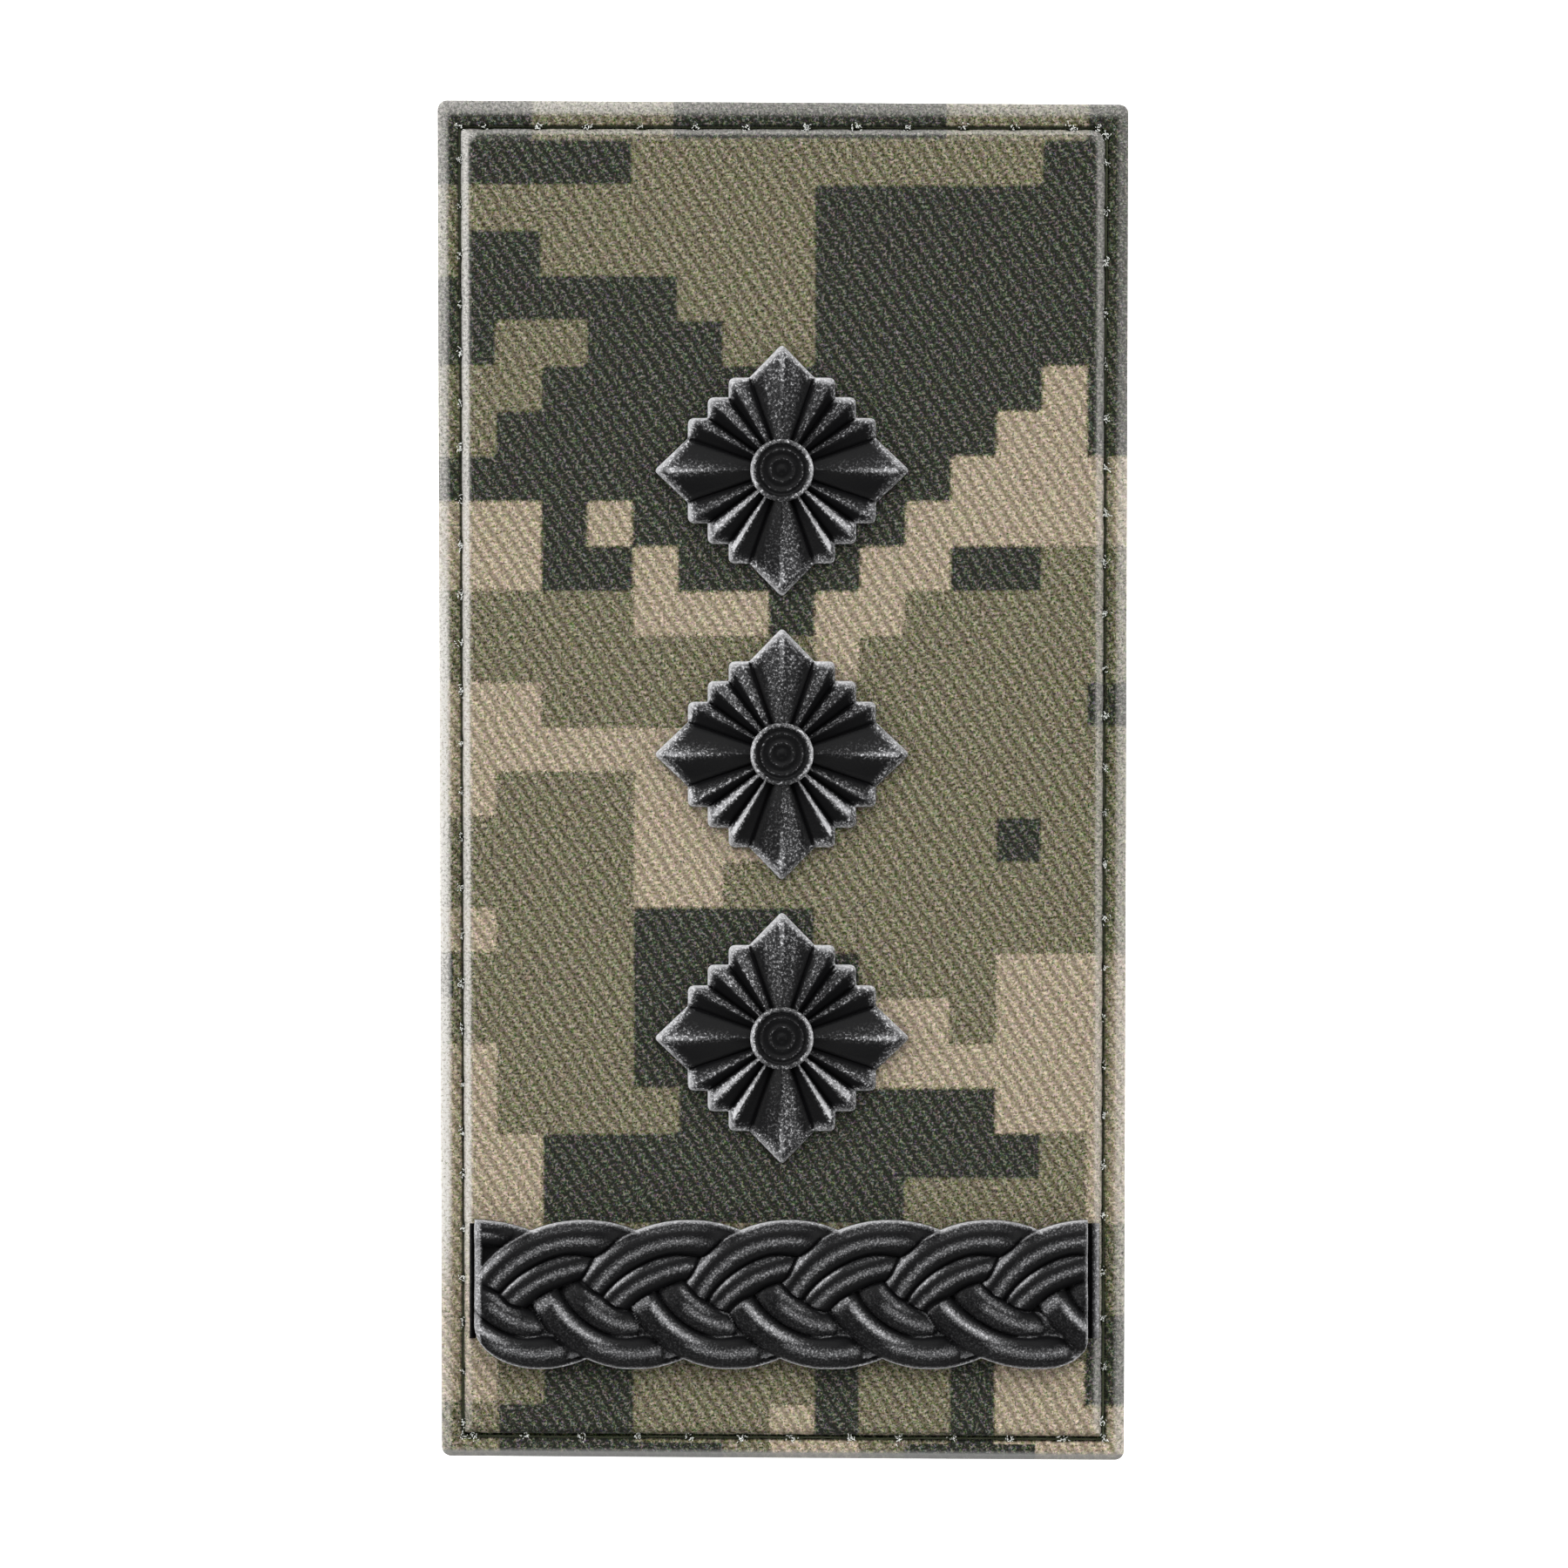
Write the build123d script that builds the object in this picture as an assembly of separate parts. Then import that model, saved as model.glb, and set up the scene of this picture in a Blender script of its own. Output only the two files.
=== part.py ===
from build123d import *
from collections import namedtuple
import math
import os

# All lengths are millimetres. The board lies on its back, face up. +Y runs from the plait
# to the pips, +X to the right of a viewer who has the plait at the bottom, and +Z up from
# the floor. The origin is on the floor under the middle of the board.

# Board of padded cloth
board_length = 100.0
board_width = 50.5
board_corner_radius = 0.7
rim_thickness = 2.0
rim_roll_radius = 0.55
back_edge_radius = 0.45

# Sewn groove and raised panel, measured inwards from the board's edge
groove_outer_inset = 1.3
groove_inner_inset = 1.75
groove_depth = 1.0
panel_rise = 0.5
panel_flank_run = 0.7
panel_corner_cut = 0.8

# Sleeve of single cloth for the shoulder strap
sleeve_wall = 1.0
strap_room = 4.6
sleeve_end_inset = 2.0
seam_edge_inset = 0.9
seam_width = 3.2
sleeve_flank_run = 4.8
sleeve_bend_radius = 1.6

# Pips
pip_reach = 9.3
pip_gap = 2.27
pip_to_plait_gap = 4.2
pip_edge_height = 0.35
pip_ridge_height = 1.2
pip_valley_height = 0.6
pip_crown_height = 1.3
pip_point_bevel = 0.9
pip_ray_bevel = 0.7
pip_valley_bevel = 0.15

# Button in the middle of a pip
button_radius = 2.3
button_height = 1.9
button_rim_width = 0.3
button_rim_depth = 0.25
button_ring_radius = 1.45
button_ring_width = 0.25
button_ring_height = 0.12
button_boss_radius = 0.8

# Plait
plait_width = 11.0
plait_to_board_end = 6.5
plait_right_margin = 0.4
plait_height = 2.0
plait_web_height = 0.9
plait_web_upper_inset = 1.55
plait_web_lower_inset = 0.75
plait_corner_radius = 2.4
plait_dive = 0.75
top_strand_pitch = 7.45
top_first_notch = 4.3
bottom_strand_pitch = 7.2
bottom_first_notch = 7.3
flange_thickness = 0.25
flange_left = 0.25
flange_right = 0.9
flange_overlap = 1.0
flange_upper_inset = 0.35
flange_lower_inset = 2.2

# Heights and edges that the pieces share
board_back_z = sleeve_wall + strap_room
rim_top_z = board_back_z + rim_thickness
panel_top_z = rim_top_z + panel_rise
panel_edge_inset = groove_inner_inset + panel_flank_run
panel_half_width = board_width / 2 - panel_edge_inset
plait_lower_y = -board_length / 2 + plait_to_board_end
plait_mid_y = plait_lower_y + plait_width / 2
plait_left_x = -panel_half_width
plait_length = 2 * panel_half_width - plait_right_margin
pip_spacing = 2 * pip_reach + pip_gap
pip_lower_y = plait_lower_y + plait_width + pip_to_plait_gap + pip_reach

# Outline of a quarter of a pip, going round from its upper point. Across and up are
# shares of the pip's reach.
PipCorner = namedtuple("PipCorner", "kind across up")
pip_quarter = [
    PipCorner("point", 0.0, 1.0),
    PipCorner("valley", 0.254, 0.735),
    PipCorner("ray", 0.416, 0.735),
    PipCorner("valley", 0.416, 0.58),
    PipCorner("ray", 0.58, 0.58),
    PipCorner("valley", 0.58, 0.416),
    PipCorner("ray", 0.735, 0.416),
    PipCorner("valley", 0.735, 0.254),
]

# Centre lines of the plait's cords, each one arc from where it comes up from under its
# neighbour, over its crest, to where it dives under the next. Along is a share of the
# strand pitch, measured from the strand's own notch; up is a share of half the plait's
# width, measured from its middle. Radius is a share of half the width too.
CordArc = namedtuple("CordArc", "side radius start_along start_up crest_along crest_up end_along end_up")
plait_cords = [
    CordArc("top", 0.23, -0.47, 0.0, 0.47, 0.755, 1.0, 0.565),
    CordArc("top", 0.2, -0.26, -0.15, 0.22, 0.28, 0.78, 0.40),
    CordArc("bottom", 0.2, -0.42, -0.02, 0.49, -0.80, 0.95, -0.655),
    CordArc("bottom", 0.2, -0.12, 0.10, 0.24, -0.36, 0.72, -0.44),
]


def framed_rectangle(inset):
    """Rectangle that keeps the given distance inside the board's edge."""
    return Rectangle(board_width - 2 * inset, board_length - 2 * inset)


def panel_outline():
    """Foot of the raised panel: a rectangle with its upper right corner cut off."""
    half_x = board_width / 2 - groove_inner_inset
    half_y = board_length / 2 - groove_inner_inset
    corners = [
        (-half_x, -half_y),
        (half_x, -half_y),
        (half_x, half_y - panel_corner_cut),
        (half_x - panel_corner_cut, half_y),
        (-half_x, half_y),
    ]
    return Polygon(*corners, align=None)


def make_board():
    """Padded board: rolled rim, sewn groove and raised panel in one solid."""
    blank = extrude(RectangleRounded(board_width, board_length, board_corner_radius), amount=rim_thickness)
    blank = fillet(blank.faces().sort_by(Axis.Z)[-1].edges(), rim_roll_radius)
    blank = fillet(blank.faces().sort_by(Axis.Z)[0].edges(), back_edge_radius)
    foot = panel_outline()
    groove = extrude(framed_rectangle(groove_outer_inset) - foot, amount=groove_depth)
    blank -= Pos(0, 0, rim_thickness - groove_depth) * groove
    panel_height = groove_depth + panel_rise
    lean = math.degrees(math.atan(panel_flank_run / panel_height))
    panel = extrude(foot, amount=panel_height, taper=lean)
    blank += Pos(0, 0, rim_thickness - groove_depth) * panel
    return Pos(0, 0, board_back_z) * blank


def make_sleeve():
    """Cloth tunnel: seam, sloping flank, flat back, sloping flank, seam."""
    seam_outer_x = board_width / 2 - seam_edge_inset
    seam_inner_x = seam_outer_x - seam_width
    flat_x = seam_inner_x - sleeve_flank_run
    low_z = sleeve_wall / 2
    high_z = board_back_z - sleeve_wall / 2
    middle = FilletPolyline(
        (-seam_outer_x, high_z),
        (-seam_inner_x, high_z),
        (-flat_x, low_z),
        (flat_x, low_z),
        (seam_inner_x, high_z),
        (seam_outer_x, high_z),
        radius=sleeve_bend_radius,
    )
    section = Plane.XZ * trace(middle, sleeve_wall)
    return extrude(section, amount=board_length / 2 - sleeve_end_inset, both=True)


def pip_corners():
    """All corners of a pip's outline in order, as kind and position."""
    corners = []
    for quarter in range(4):
        turn = -90 * quarter
        for corner in pip_quarter:
            place = Vector(corner.across, corner.up, 0) * pip_reach
            corners.append((corner.kind, place.rotate(Axis.Z, turn)))
    return corners


def make_pip_star():
    """Rayed body of a pip: ridges and valleys that fan out from its middle."""
    bevels = {"point": pip_point_bevel, "ray": pip_ray_bevel, "valley": pip_valley_bevel}
    heights = {"point": pip_ridge_height, "ray": pip_ridge_height, "valley": pip_valley_height}
    crown = Vector(0, 0, pip_crown_height)
    feet = []
    edges = []
    tops = []
    for kind, place in pip_corners():
        feet.append(place)
        edges.append(place + Vector(0, 0, pip_edge_height))
        tops.append(place - place.normalized() * bevels[kind] + Vector(0, 0, heights[kind]))
    faces = [Face(Wire.make_polygon(feet[::-1]))]
    count = len(feet)
    for i in range(count):
        j = (i + 1) % count
        faces.append(Face(Wire.make_polygon([crown, tops[i], tops[j]])))
        faces.append(Face(Wire.make_polygon([tops[i], edges[i], edges[j]])))
        faces.append(Face(Wire.make_polygon([tops[i], edges[j], tops[j]])))
        faces.append(Face(Wire.make_polygon([edges[i], feet[i], feet[j], edges[j]])))
    return Solid(Shell(faces))


def make_button():
    """Round button with a raised rim, a raised ring and a small boss."""
    floor_z = button_height - button_rim_depth
    ring_z = floor_z + button_ring_height
    rim_inner = button_radius - button_rim_width
    ring_outer = button_ring_radius + button_ring_width / 2
    ring_inner = button_ring_radius - button_ring_width / 2
    profile = Polyline(
        (0, 0),
        (button_radius, 0),
        (button_radius, button_height),
        (rim_inner, button_height),
        (rim_inner, floor_z),
        (ring_outer, floor_z),
        (ring_outer, ring_z),
        (ring_inner, ring_z),
        (ring_inner, floor_z),
        (button_boss_radius, floor_z),
        (button_boss_radius, ring_z),
        (0, ring_z),
        close=True,
    )
    return revolve(Plane.XZ * make_face(profile), Axis.Z)


def make_pip(y):
    """One pip, standing on the panel at the given height up the board."""
    pip = make_pip_star() + make_button()
    return Pos(0, y, panel_top_z) * pip


def cord_solid(cord, notch, pitch):
    """One round cord of the plait, bent along its arc over the web."""
    half_width = plait_width / 2
    radius = cord.radius * half_width
    crest_z = plait_height - radius
    start = Vector(notch + cord.start_along * pitch, cord.start_up * half_width, crest_z - plait_dive)
    crest = Vector(notch + cord.crest_along * pitch, cord.crest_up * half_width, crest_z)
    end = Vector(notch + cord.end_along * pitch, cord.end_up * half_width, crest_z - plait_dive)
    path = ThreePointArc(start, crest, end)
    section = Plane(origin=path @ 0, z_dir=path % 0) * Circle(radius)
    return sweep(section, path)


def cord_notches(cord, first, pitch):
    """Places of the notches whose strands reach the bar, for one cord of the table."""
    places = []
    place = first - pitch
    while place + cord.start_along * pitch < plait_length:
        places.append(place)
        place += pitch
    return places


def lower_corner(x, inwards):
    """What is cut away to round a lower corner of the plait; inwards is 1 or -1."""
    radius = plait_corner_radius
    waste = Pos(x, -plait_width / 2) * Rectangle(2 * radius, 2 * radius)
    waste -= Pos(x + inwards * radius, radius - plait_width / 2) * Circle(radius)
    return extrude(waste, amount=2 * plait_height)


def end_flange(near_x, far_x):
    """Thin skin that runs out from under one end of the plait."""
    low_y = -plait_width / 2 + flange_lower_inset
    high_y = plait_width / 2 - flange_upper_inset
    skin = Box(far_x - near_x, high_y - low_y, flange_thickness, align=(Align.MIN, Align.MIN, Align.MIN))
    return Pos(near_x, low_y, 0) * skin


def make_plait():
    """Moulded bar: a flat web, the cords in relief and a thin flange at each end."""
    first_notch = {"top": top_first_notch, "bottom": bottom_first_notch}
    pitch = {"top": top_strand_pitch, "bottom": bottom_strand_pitch}
    corner = (Align.MIN, Align.CENTER, Align.MIN)
    space = Box(plait_length, 2 * plait_width, 2 * plait_height, align=corner)
    web_width = plait_width - plait_web_upper_inset - plait_web_lower_inset
    web = Box(plait_length, web_width, plait_web_height, align=corner)
    bar = Pos(0, (plait_web_lower_inset - plait_web_upper_inset) / 2, 0) * web
    cords = []
    for cord in plait_cords:
        for notch in cord_notches(cord, first_notch[cord.side], pitch[cord.side]):
            cords.append(cord_solid(cord, notch, pitch[cord.side]) & space)
    bar = bar.fuse(*cords)
    bar -= lower_corner(0, 1)
    bar -= lower_corner(plait_length, -1)
    bar += end_flange(-flange_left, flange_overlap)
    bar += end_flange(plait_length - flange_overlap, plait_length + flange_right)
    return bar


if __name__ == "__main__":
    os.makedirs("parts", exist_ok=True)
    export_step(make_board(), "parts/board_front.step")
    export_step(make_sleeve(), "parts/back_sleeve.step")
    for place, name in enumerate(["pip_lower", "pip_middle", "pip_upper"]):
        export_step(make_pip(pip_lower_y + place * pip_spacing), f"parts/{name}.step")
    export_step(Pos(plait_left_x, plait_mid_y, panel_top_z) * make_plait(), "parts/plait.step")
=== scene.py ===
import logging
import math
from dataclasses import dataclass
from enum import Enum
from typing import Iterable, NamedTuple, Optional, Sequence, Union

import bpy
import numpy as np
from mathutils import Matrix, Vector


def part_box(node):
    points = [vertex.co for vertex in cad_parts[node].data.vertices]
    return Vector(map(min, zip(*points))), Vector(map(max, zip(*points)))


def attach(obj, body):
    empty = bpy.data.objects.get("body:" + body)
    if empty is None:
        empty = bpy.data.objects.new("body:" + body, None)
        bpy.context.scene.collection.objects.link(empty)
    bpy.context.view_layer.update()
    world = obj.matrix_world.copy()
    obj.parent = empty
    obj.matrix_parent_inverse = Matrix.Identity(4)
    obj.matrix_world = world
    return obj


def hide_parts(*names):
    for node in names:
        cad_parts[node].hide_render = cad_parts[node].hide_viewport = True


# A slip-on shoulder board: a padded front of printed camouflage twill with a sewn groove
# round it, a cloth sleeve behind it for the strap, three moulded rubber pips and a moulded
# rubber plait. It lies on its back. Lengths are millimetres until a mesh is made, +Y runs
# from the plait to the pips and +Z is up from the floor.

METRES_PER_MM = 0.001
MIX_FACTOR, MIX_FIRST, MIX_SECOND, MIX_RESULT = 0, 6, 7, 2
NOISE_MIDDLE = (0.5, 0.5, 0.5)
LOG = logging.getLogger("shoulder_board")

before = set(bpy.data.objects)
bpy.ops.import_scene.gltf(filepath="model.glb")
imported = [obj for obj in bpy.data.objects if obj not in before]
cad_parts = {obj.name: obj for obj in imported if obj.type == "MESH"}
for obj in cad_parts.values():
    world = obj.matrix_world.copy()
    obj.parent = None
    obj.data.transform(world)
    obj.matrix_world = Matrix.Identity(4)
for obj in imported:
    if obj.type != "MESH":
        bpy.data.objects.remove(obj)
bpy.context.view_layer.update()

Feed = Union[bpy.types.Node, bpy.types.NodeSocket, float, tuple[float, ...]]
Mesh = tuple[np.ndarray, Iterable[Sequence[int]]]
Span = tuple[float, float]


class Side(Enum):
    """The four sides of the sewn groove, as the camera sees them."""

    LEFT = "left"
    RIGHT = "right"
    TOP = "top"
    BOTTOM = "bottom"


class Ink(Enum):
    """Inks printed over the olive ground of the camouflage cloth."""

    DARK = "dark_ink"
    TAN = "tan_ink"


def srgb_to_linear(code: str) -> tuple[float, float, float, float]:
    """Turn an sRGB hex colour into the linear colour that a shader takes.

    Args:
        code: six hex digits, with or without a leading hash sign.

    Returns:
        Red, green, blue and an alpha of 1.
    """
    digits = code.lstrip("#")
    channels = [int(digits[place:place + 2], 16) / 255 for place in (0, 2, 4)]
    linear = [c / 12.92 if c <= 0.04045 else ((c + 0.055) / 1.055) ** 2.4 for c in channels]
    return (linear[0], linear[1], linear[2], 1.0)


def add_node(tree: bpy.types.NodeTree, kind: str, settings: Optional[dict] = None,
             inputs: Optional[dict] = None) -> bpy.types.Node:
    """Add one node to a tree, set it up and link what feeds it.

    Args:
        tree: the node tree that gets the node.
        kind: Blender's name for the kind of node.
        settings: the node's own properties by name.
        inputs: a value, a socket or a node for each input, by the input's name or place.

    Returns:
        The new node.
    """
    node = tree.nodes.new(kind)
    for name, value in (settings or {}).items():
        setattr(node, name, value)
    for key, value in (inputs or {}).items():
        if isinstance(value, bpy.types.Node):
            tree.links.new(value.outputs[0], node.inputs[key])
        elif isinstance(value, bpy.types.NodeSocket):
            tree.links.new(value, node.inputs[key])
        else:
            node.inputs[key].default_value = value
    return node


def new_material(name: str) -> bpy.types.Material:
    """Make an empty node material.

    Args:
        name: the material's name.

    Returns:
        The material, with no nodes in it.
    """
    material = bpy.data.materials.new(name)
    material.use_nodes = True
    material.node_tree.nodes.clear()
    return material


def smooth_step(low: float, high: float, value: np.ndarray) -> np.ndarray:
    """Rise smoothly from 0 at low to 1 at high.

    Args:
        low: where the rise starts.
        high: where the rise ends.
        value: the numbers to place on the rise.

    Returns:
        The share of the rise for each number.
    """
    share = np.clip((value - low) / (high - low), 0, 1)
    return share * share * (3 - 2 * share)


def grid_faces(rows: int, columns: int) -> np.ndarray:
    """Quads of a grid whose points are numbered row by row.

    Args:
        rows: number of rows of points.
        columns: number of points in a row.

    Returns:
        Four point numbers for each quad, facing up where rows run up and columns right.
    """
    place = np.arange(rows * columns).reshape(rows, columns)
    corners = (place[:-1, :-1], place[:-1, 1:], place[1:, 1:], place[1:, :-1])
    return np.stack([c.ravel() for c in corners], axis=1)


def ring_faces(lower: np.ndarray, upper: np.ndarray) -> np.ndarray:
    """Quads between two closed rings of as many points each.

    Args:
        lower: point numbers of the lower ring, turning anticlockwise seen from above.
        upper: point numbers of the upper ring, in the same order.

    Returns:
        Four point numbers for each quad, facing outwards.
    """
    return np.stack([lower, np.roll(lower, -1), np.roll(upper, -1), upper], axis=1)


def point_normals(points: np.ndarray, quads: np.ndarray) -> np.ndarray:
    """Average the directions that the quads round each point face.

    Args:
        points: the mesh's points.
        quads: four point numbers for each quad.

    Returns:
        One direction of length 1 for each point.
    """
    corners = points[quads]
    facing = np.cross(corners[:, 2] - corners[:, 0], corners[:, 3] - corners[:, 1])
    total = np.zeros(points.shape)
    for corner in range(4):
        np.add.at(total, quads[:, corner], facing)
    return total / np.maximum(np.linalg.norm(total, axis=1), 1e-9)[:, None]


def mesh_piece(name: str, points: np.ndarray, faces: Iterable[Sequence[int]],
               smooth: bool = True) -> bpy.types.Object:
    """Make a mesh object from points in millimetres.

    Args:
        name: the piece's name.
        points: one row of x, y and z for each point.
        faces: point numbers of each face.
        smooth: whether the faces are shaded smooth.

    Returns:
        The object, linked to the scene.
    """
    mesh = bpy.data.meshes.new(name)
    listed = faces.tolist() if isinstance(faces, np.ndarray) else [list(face) for face in faces]
    mesh.from_pydata((np.asarray(points, float) * METRES_PER_MM).tolist(), [], listed)
    mesh.polygons.foreach_set("use_smooth", np.full(len(mesh.polygons), smooth))
    mesh.update()
    piece = bpy.data.objects.new(name, mesh)
    bpy.context.scene.collection.objects.link(piece)
    return piece


def store_share(piece: bpy.types.Object, name: str, values: np.ndarray) -> None:
    """Store a number from 0 to 1 on each point of a mesh.

    Args:
        piece: the mesh object.
        name: the attribute's name, which a material reads.
        values: one number for each point.
    """
    attribute = piece.data.attributes.new(name, "FLOAT", "POINT")
    attribute.data.foreach_set("value", np.asarray(values, np.float32))


def store_cloth_place(piece: bpy.types.Object, places: np.ndarray) -> None:
    """Store where each point lies on the flat cloth, so that a weave follows its folds.

    Args:
        piece: the mesh object.
        places: millimetres across and along the cloth for each point.
    """
    attribute = piece.data.attributes.new("cloth_place", "FLOAT_VECTOR", "POINT")
    flat = np.column_stack([places, np.zeros(len(places))])
    attribute.data.foreach_set("vector", flat.astype(np.float32).ravel())


def rounded_path(corners: np.ndarray, cuts: Sequence[float], bend_points: int,
                 side_points: int, closed: bool) -> np.ndarray:
    """Round the corners of a path and divide its sides, with as many points for each corner.

    Args:
        corners: one row for each corner, in two or three dimensions.
        cuts: how far before and after each corner its bend starts and ends.
        bend_points: points on each bend.
        side_points: points between two bends, without the bends' own.
        closed: whether the path returns to its start.

    Returns:
        The points in order.
    """
    corners = np.asarray(corners, float)
    count = len(corners)
    path = []
    for place, corner in enumerate(corners):
        before = corners[place - 1] if closed or place else corner
        after = corners[(place + 1) % count] if closed or place < count - 1 else corner
        legs = []
        for other in (before, after):
            reach = np.linalg.norm(other - corner)
            cut = min(cuts[place] / reach, 0.48) if reach else 0.0
            legs.append(corner + (other - corner) * cut)
        share = np.linspace(0, 1, bend_points)[:, None]
        bend = (1 - share) ** 2 * legs[0] + 2 * share * (1 - share) * corner + share ** 2 * legs[1]
        if path:
            path.append(between(path[-1][-1], bend[0], side_points))
        path.append(bend)
    if closed:
        path.append(between(path[-1][-1], path[0][0], side_points))
    return np.concatenate(path)


def between(start: np.ndarray, end: np.ndarray, count: int) -> np.ndarray:
    """Divide a straight run.

    Args:
        start: where the run starts.
        end: where it ends.
        count: points inside the run, without its two ends.

    Returns:
        The points inside the run.
    """
    share = np.linspace(0, 1, count + 2)[1:-1, None]
    return start + share * (end - start)


def tube(line: np.ndarray, radii: np.ndarray, sides: int) -> Mesh:
    """Sweep a round section along a line of points and close both ends.

    Args:
        line: the points of the centre line.
        radii: the section's radius at each point.
        sides: number of corners of the section.

    Returns:
        The tube's points and its faces as point numbers.
    """
    ahead = np.gradient(line, axis=0)
    ahead /= np.linalg.norm(ahead, axis=1)[:, None]
    helper = np.where(np.abs(ahead[:, 2:3]) < 0.9, np.array([0.0, 0.0, 1.0]), np.array([1.0, 0.0, 0.0]))
    across = np.cross(helper, ahead)
    across /= np.linalg.norm(across, axis=1)[:, None]
    lift = np.cross(ahead, across)
    turn = np.linspace(0, 2 * math.pi, sides, endpoint=False)
    ring = across[:, None] * np.cos(turn)[:, None] + lift[:, None] * np.sin(turn)[:, None]
    points = line[:, None] + ring * radii[:, None, None]
    points = np.concatenate([points.reshape(-1, 3), line[:1], line[-1:]])
    place = np.arange(len(line) * sides).reshape(len(line), sides)
    faces = [ring_faces(place[row], place[row + 1]) for row in range(len(line) - 1)]
    first, last = len(points) - 2, len(points) - 1
    caps = []
    for corner in range(sides):
        follow = (corner + 1) % sides
        caps.append([place[0, follow], place[0, corner], first, first])
        caps.append([place[-1, corner], place[-1, follow], last, last])
    return points, np.concatenate([*faces, np.array(caps)])


def join_parts(parts: Sequence[Mesh]) -> Mesh:
    """Put several meshes together as one.

    Args:
        parts: points and faces of each mesh.

    Returns:
        All points, and all faces with their doubled corners left out.
    """
    points, faces, start = [], [], 0
    for part_points, part_faces in parts:
        points.append(part_points)
        faces.extend([corner + start for corner in dict.fromkeys(map(int, face))] for face in part_faces)
        start += len(part_points)
    return np.concatenate(points), faces


def grid_rim(rows: int, columns: int) -> np.ndarray:
    """Number the points round the rim of a grid.

    Args:
        rows: number of rows of points.
        columns: number of points in a row.

    Returns:
        The point numbers, anticlockwise seen from above.
    """
    place = np.arange(rows * columns).reshape(rows, columns)
    return np.concatenate([place[0, :-1], place[:-1, -1], place[-1, :0:-1], place[:0:-1, 0]])


def stack_faces(rings: int, count: int) -> list[list[int]]:
    """Faces of closed rings that lie over each other, with a cap below and above.

    Args:
        rings: number of rings, from the lowest up.
        count: number of points in a ring.

    Returns:
        The lower cap, the quads ring by ring and the upper cap.
    """
    faces = [list(range(count))[::-1]]
    for ring in range(rings - 1):
        lower = np.arange(ring * count, (ring + 1) * count)
        faces.extend(ring_faces(lower, lower + count).tolist())
    return faces + [list(range((rings - 1) * count, rings * count))]


def bell(value: np.ndarray, middle: float, reach: float) -> np.ndarray:
    """Give 1 at the middle, falling evenly to both sides and to 0.37 one reach away."""
    return np.exp(-((value - middle) / reach) ** 2)


def wrap_angle(angle: np.ndarray) -> np.ndarray:
    """Bring an angle to between half a turn back and half a turn on."""
    return (angle + math.pi) % (2 * math.pi) - math.pi


class NodeBox:
    """Where a CAD node lies, in millimetres."""

    def __init__(self, node: str) -> None:
        """Read the node's box.

        Args:
            node: the CAD node's name.
        """
        low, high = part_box(node)
        self.low = np.array(low) / METRES_PER_MM
        self.high = np.array(high) / METRES_PER_MM
        self.middle = (self.low + self.high) / 2
        self.size = self.high - self.low


def calculate(tree: bpy.types.NodeTree, operation: str, *values: Feed,
              clamp: bool = False) -> bpy.types.NodeSocket:
    """Add one step of arithmetic on numbers and give its result."""
    settings = {"operation": operation, "use_clamp": clamp}
    return add_node(tree, "ShaderNodeMath", settings, dict(enumerate(values))).outputs[0]


def calculate_colour(tree: bpy.types.NodeTree, operation: str, *values: Feed) -> bpy.types.NodeSocket:
    """Add one step of arithmetic on colours or places and give its result."""
    settings = {"operation": operation}
    return add_node(tree, "ShaderNodeVectorMath", settings, dict(enumerate(values))).outputs[0]


def remap(tree: bpy.types.NodeTree, value: Feed, source: Span = (0.0, 1.0),
          target: Span = (0.0, 1.0), smooth: bool = False) -> bpy.types.NodeSocket:
    """Turn one span of numbers into another, held at both ends.

    Args:
        tree: the material's node tree.
        value: the number to turn.
        source: the span it comes from.
        target: the span it goes to.
        smooth: whether the turn eases in and out.

    Returns:
        The socket that carries the new number.
    """
    settings = {"interpolation_type": "SMOOTHSTEP" if smooth else "LINEAR"}
    spans = {"From Min": source[0], "From Max": source[1], "To Min": target[0], "To Max": target[1]}
    return add_node(tree, "ShaderNodeMapRange", settings, {"Value": value, **spans}).outputs[0]


def mix_colours(tree: bpy.types.NodeTree, share: Feed, first: Feed, second: Feed) -> bpy.types.NodeSocket:
    """Lay a second colour over a first by a share and give the result."""
    inputs = {MIX_FACTOR: share, MIX_FIRST: first, MIX_SECOND: second}
    return add_node(tree, "ShaderNodeMix", {"data_type": "RGBA"}, inputs).outputs[MIX_RESULT]


def draw_grain(tree: bpy.types.NodeTree, place: Feed, size: float, detail: float = 2.0,
               roughness: float = 0.5) -> bpy.types.Node:
    """Add a noise whose grains have one size, in the units of the place.

    Args:
        tree: the material's node tree.
        place: where each point lies.
        size: the size of a grain.
        detail: how many finer layers it has.
        roughness: how strong the finer layers are.

    Returns:
        The noise node.
    """
    inputs = {"Vector": place, "Scale": 1 / size, "Detail": detail, "Roughness": roughness}
    return add_node(tree, "ShaderNodeTexNoise", None, inputs)


def read_share(tree: bpy.types.NodeTree, name: str) -> bpy.types.NodeSocket:
    """Read a share that is stored on the mesh."""
    return add_node(tree, "ShaderNodeAttribute", {"attribute_name": name}).outputs["Fac"]


def raise_relief(tree: bpy.types.NodeTree, height: Feed, depth_mm: float,
                 strength: Feed = 1.0) -> bpy.types.Node:
    """Bend the surface's shading by a height map of a depth in millimetres."""
    return add_node(tree, "ShaderNodeBump", None,
                    {"Height": height, "Strength": strength, "Distance": depth_mm * METRES_PER_MM})


def finish_surface(tree: bpy.types.NodeTree, inputs: dict[str, Feed]) -> None:
    """Add the surface with its inputs and connect it to the material's output."""
    surface = add_node(tree, "ShaderNodeBsdfPrincipled", None, inputs)
    add_node(tree, "ShaderNodeOutputMaterial", None, {"Surface": surface})


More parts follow.
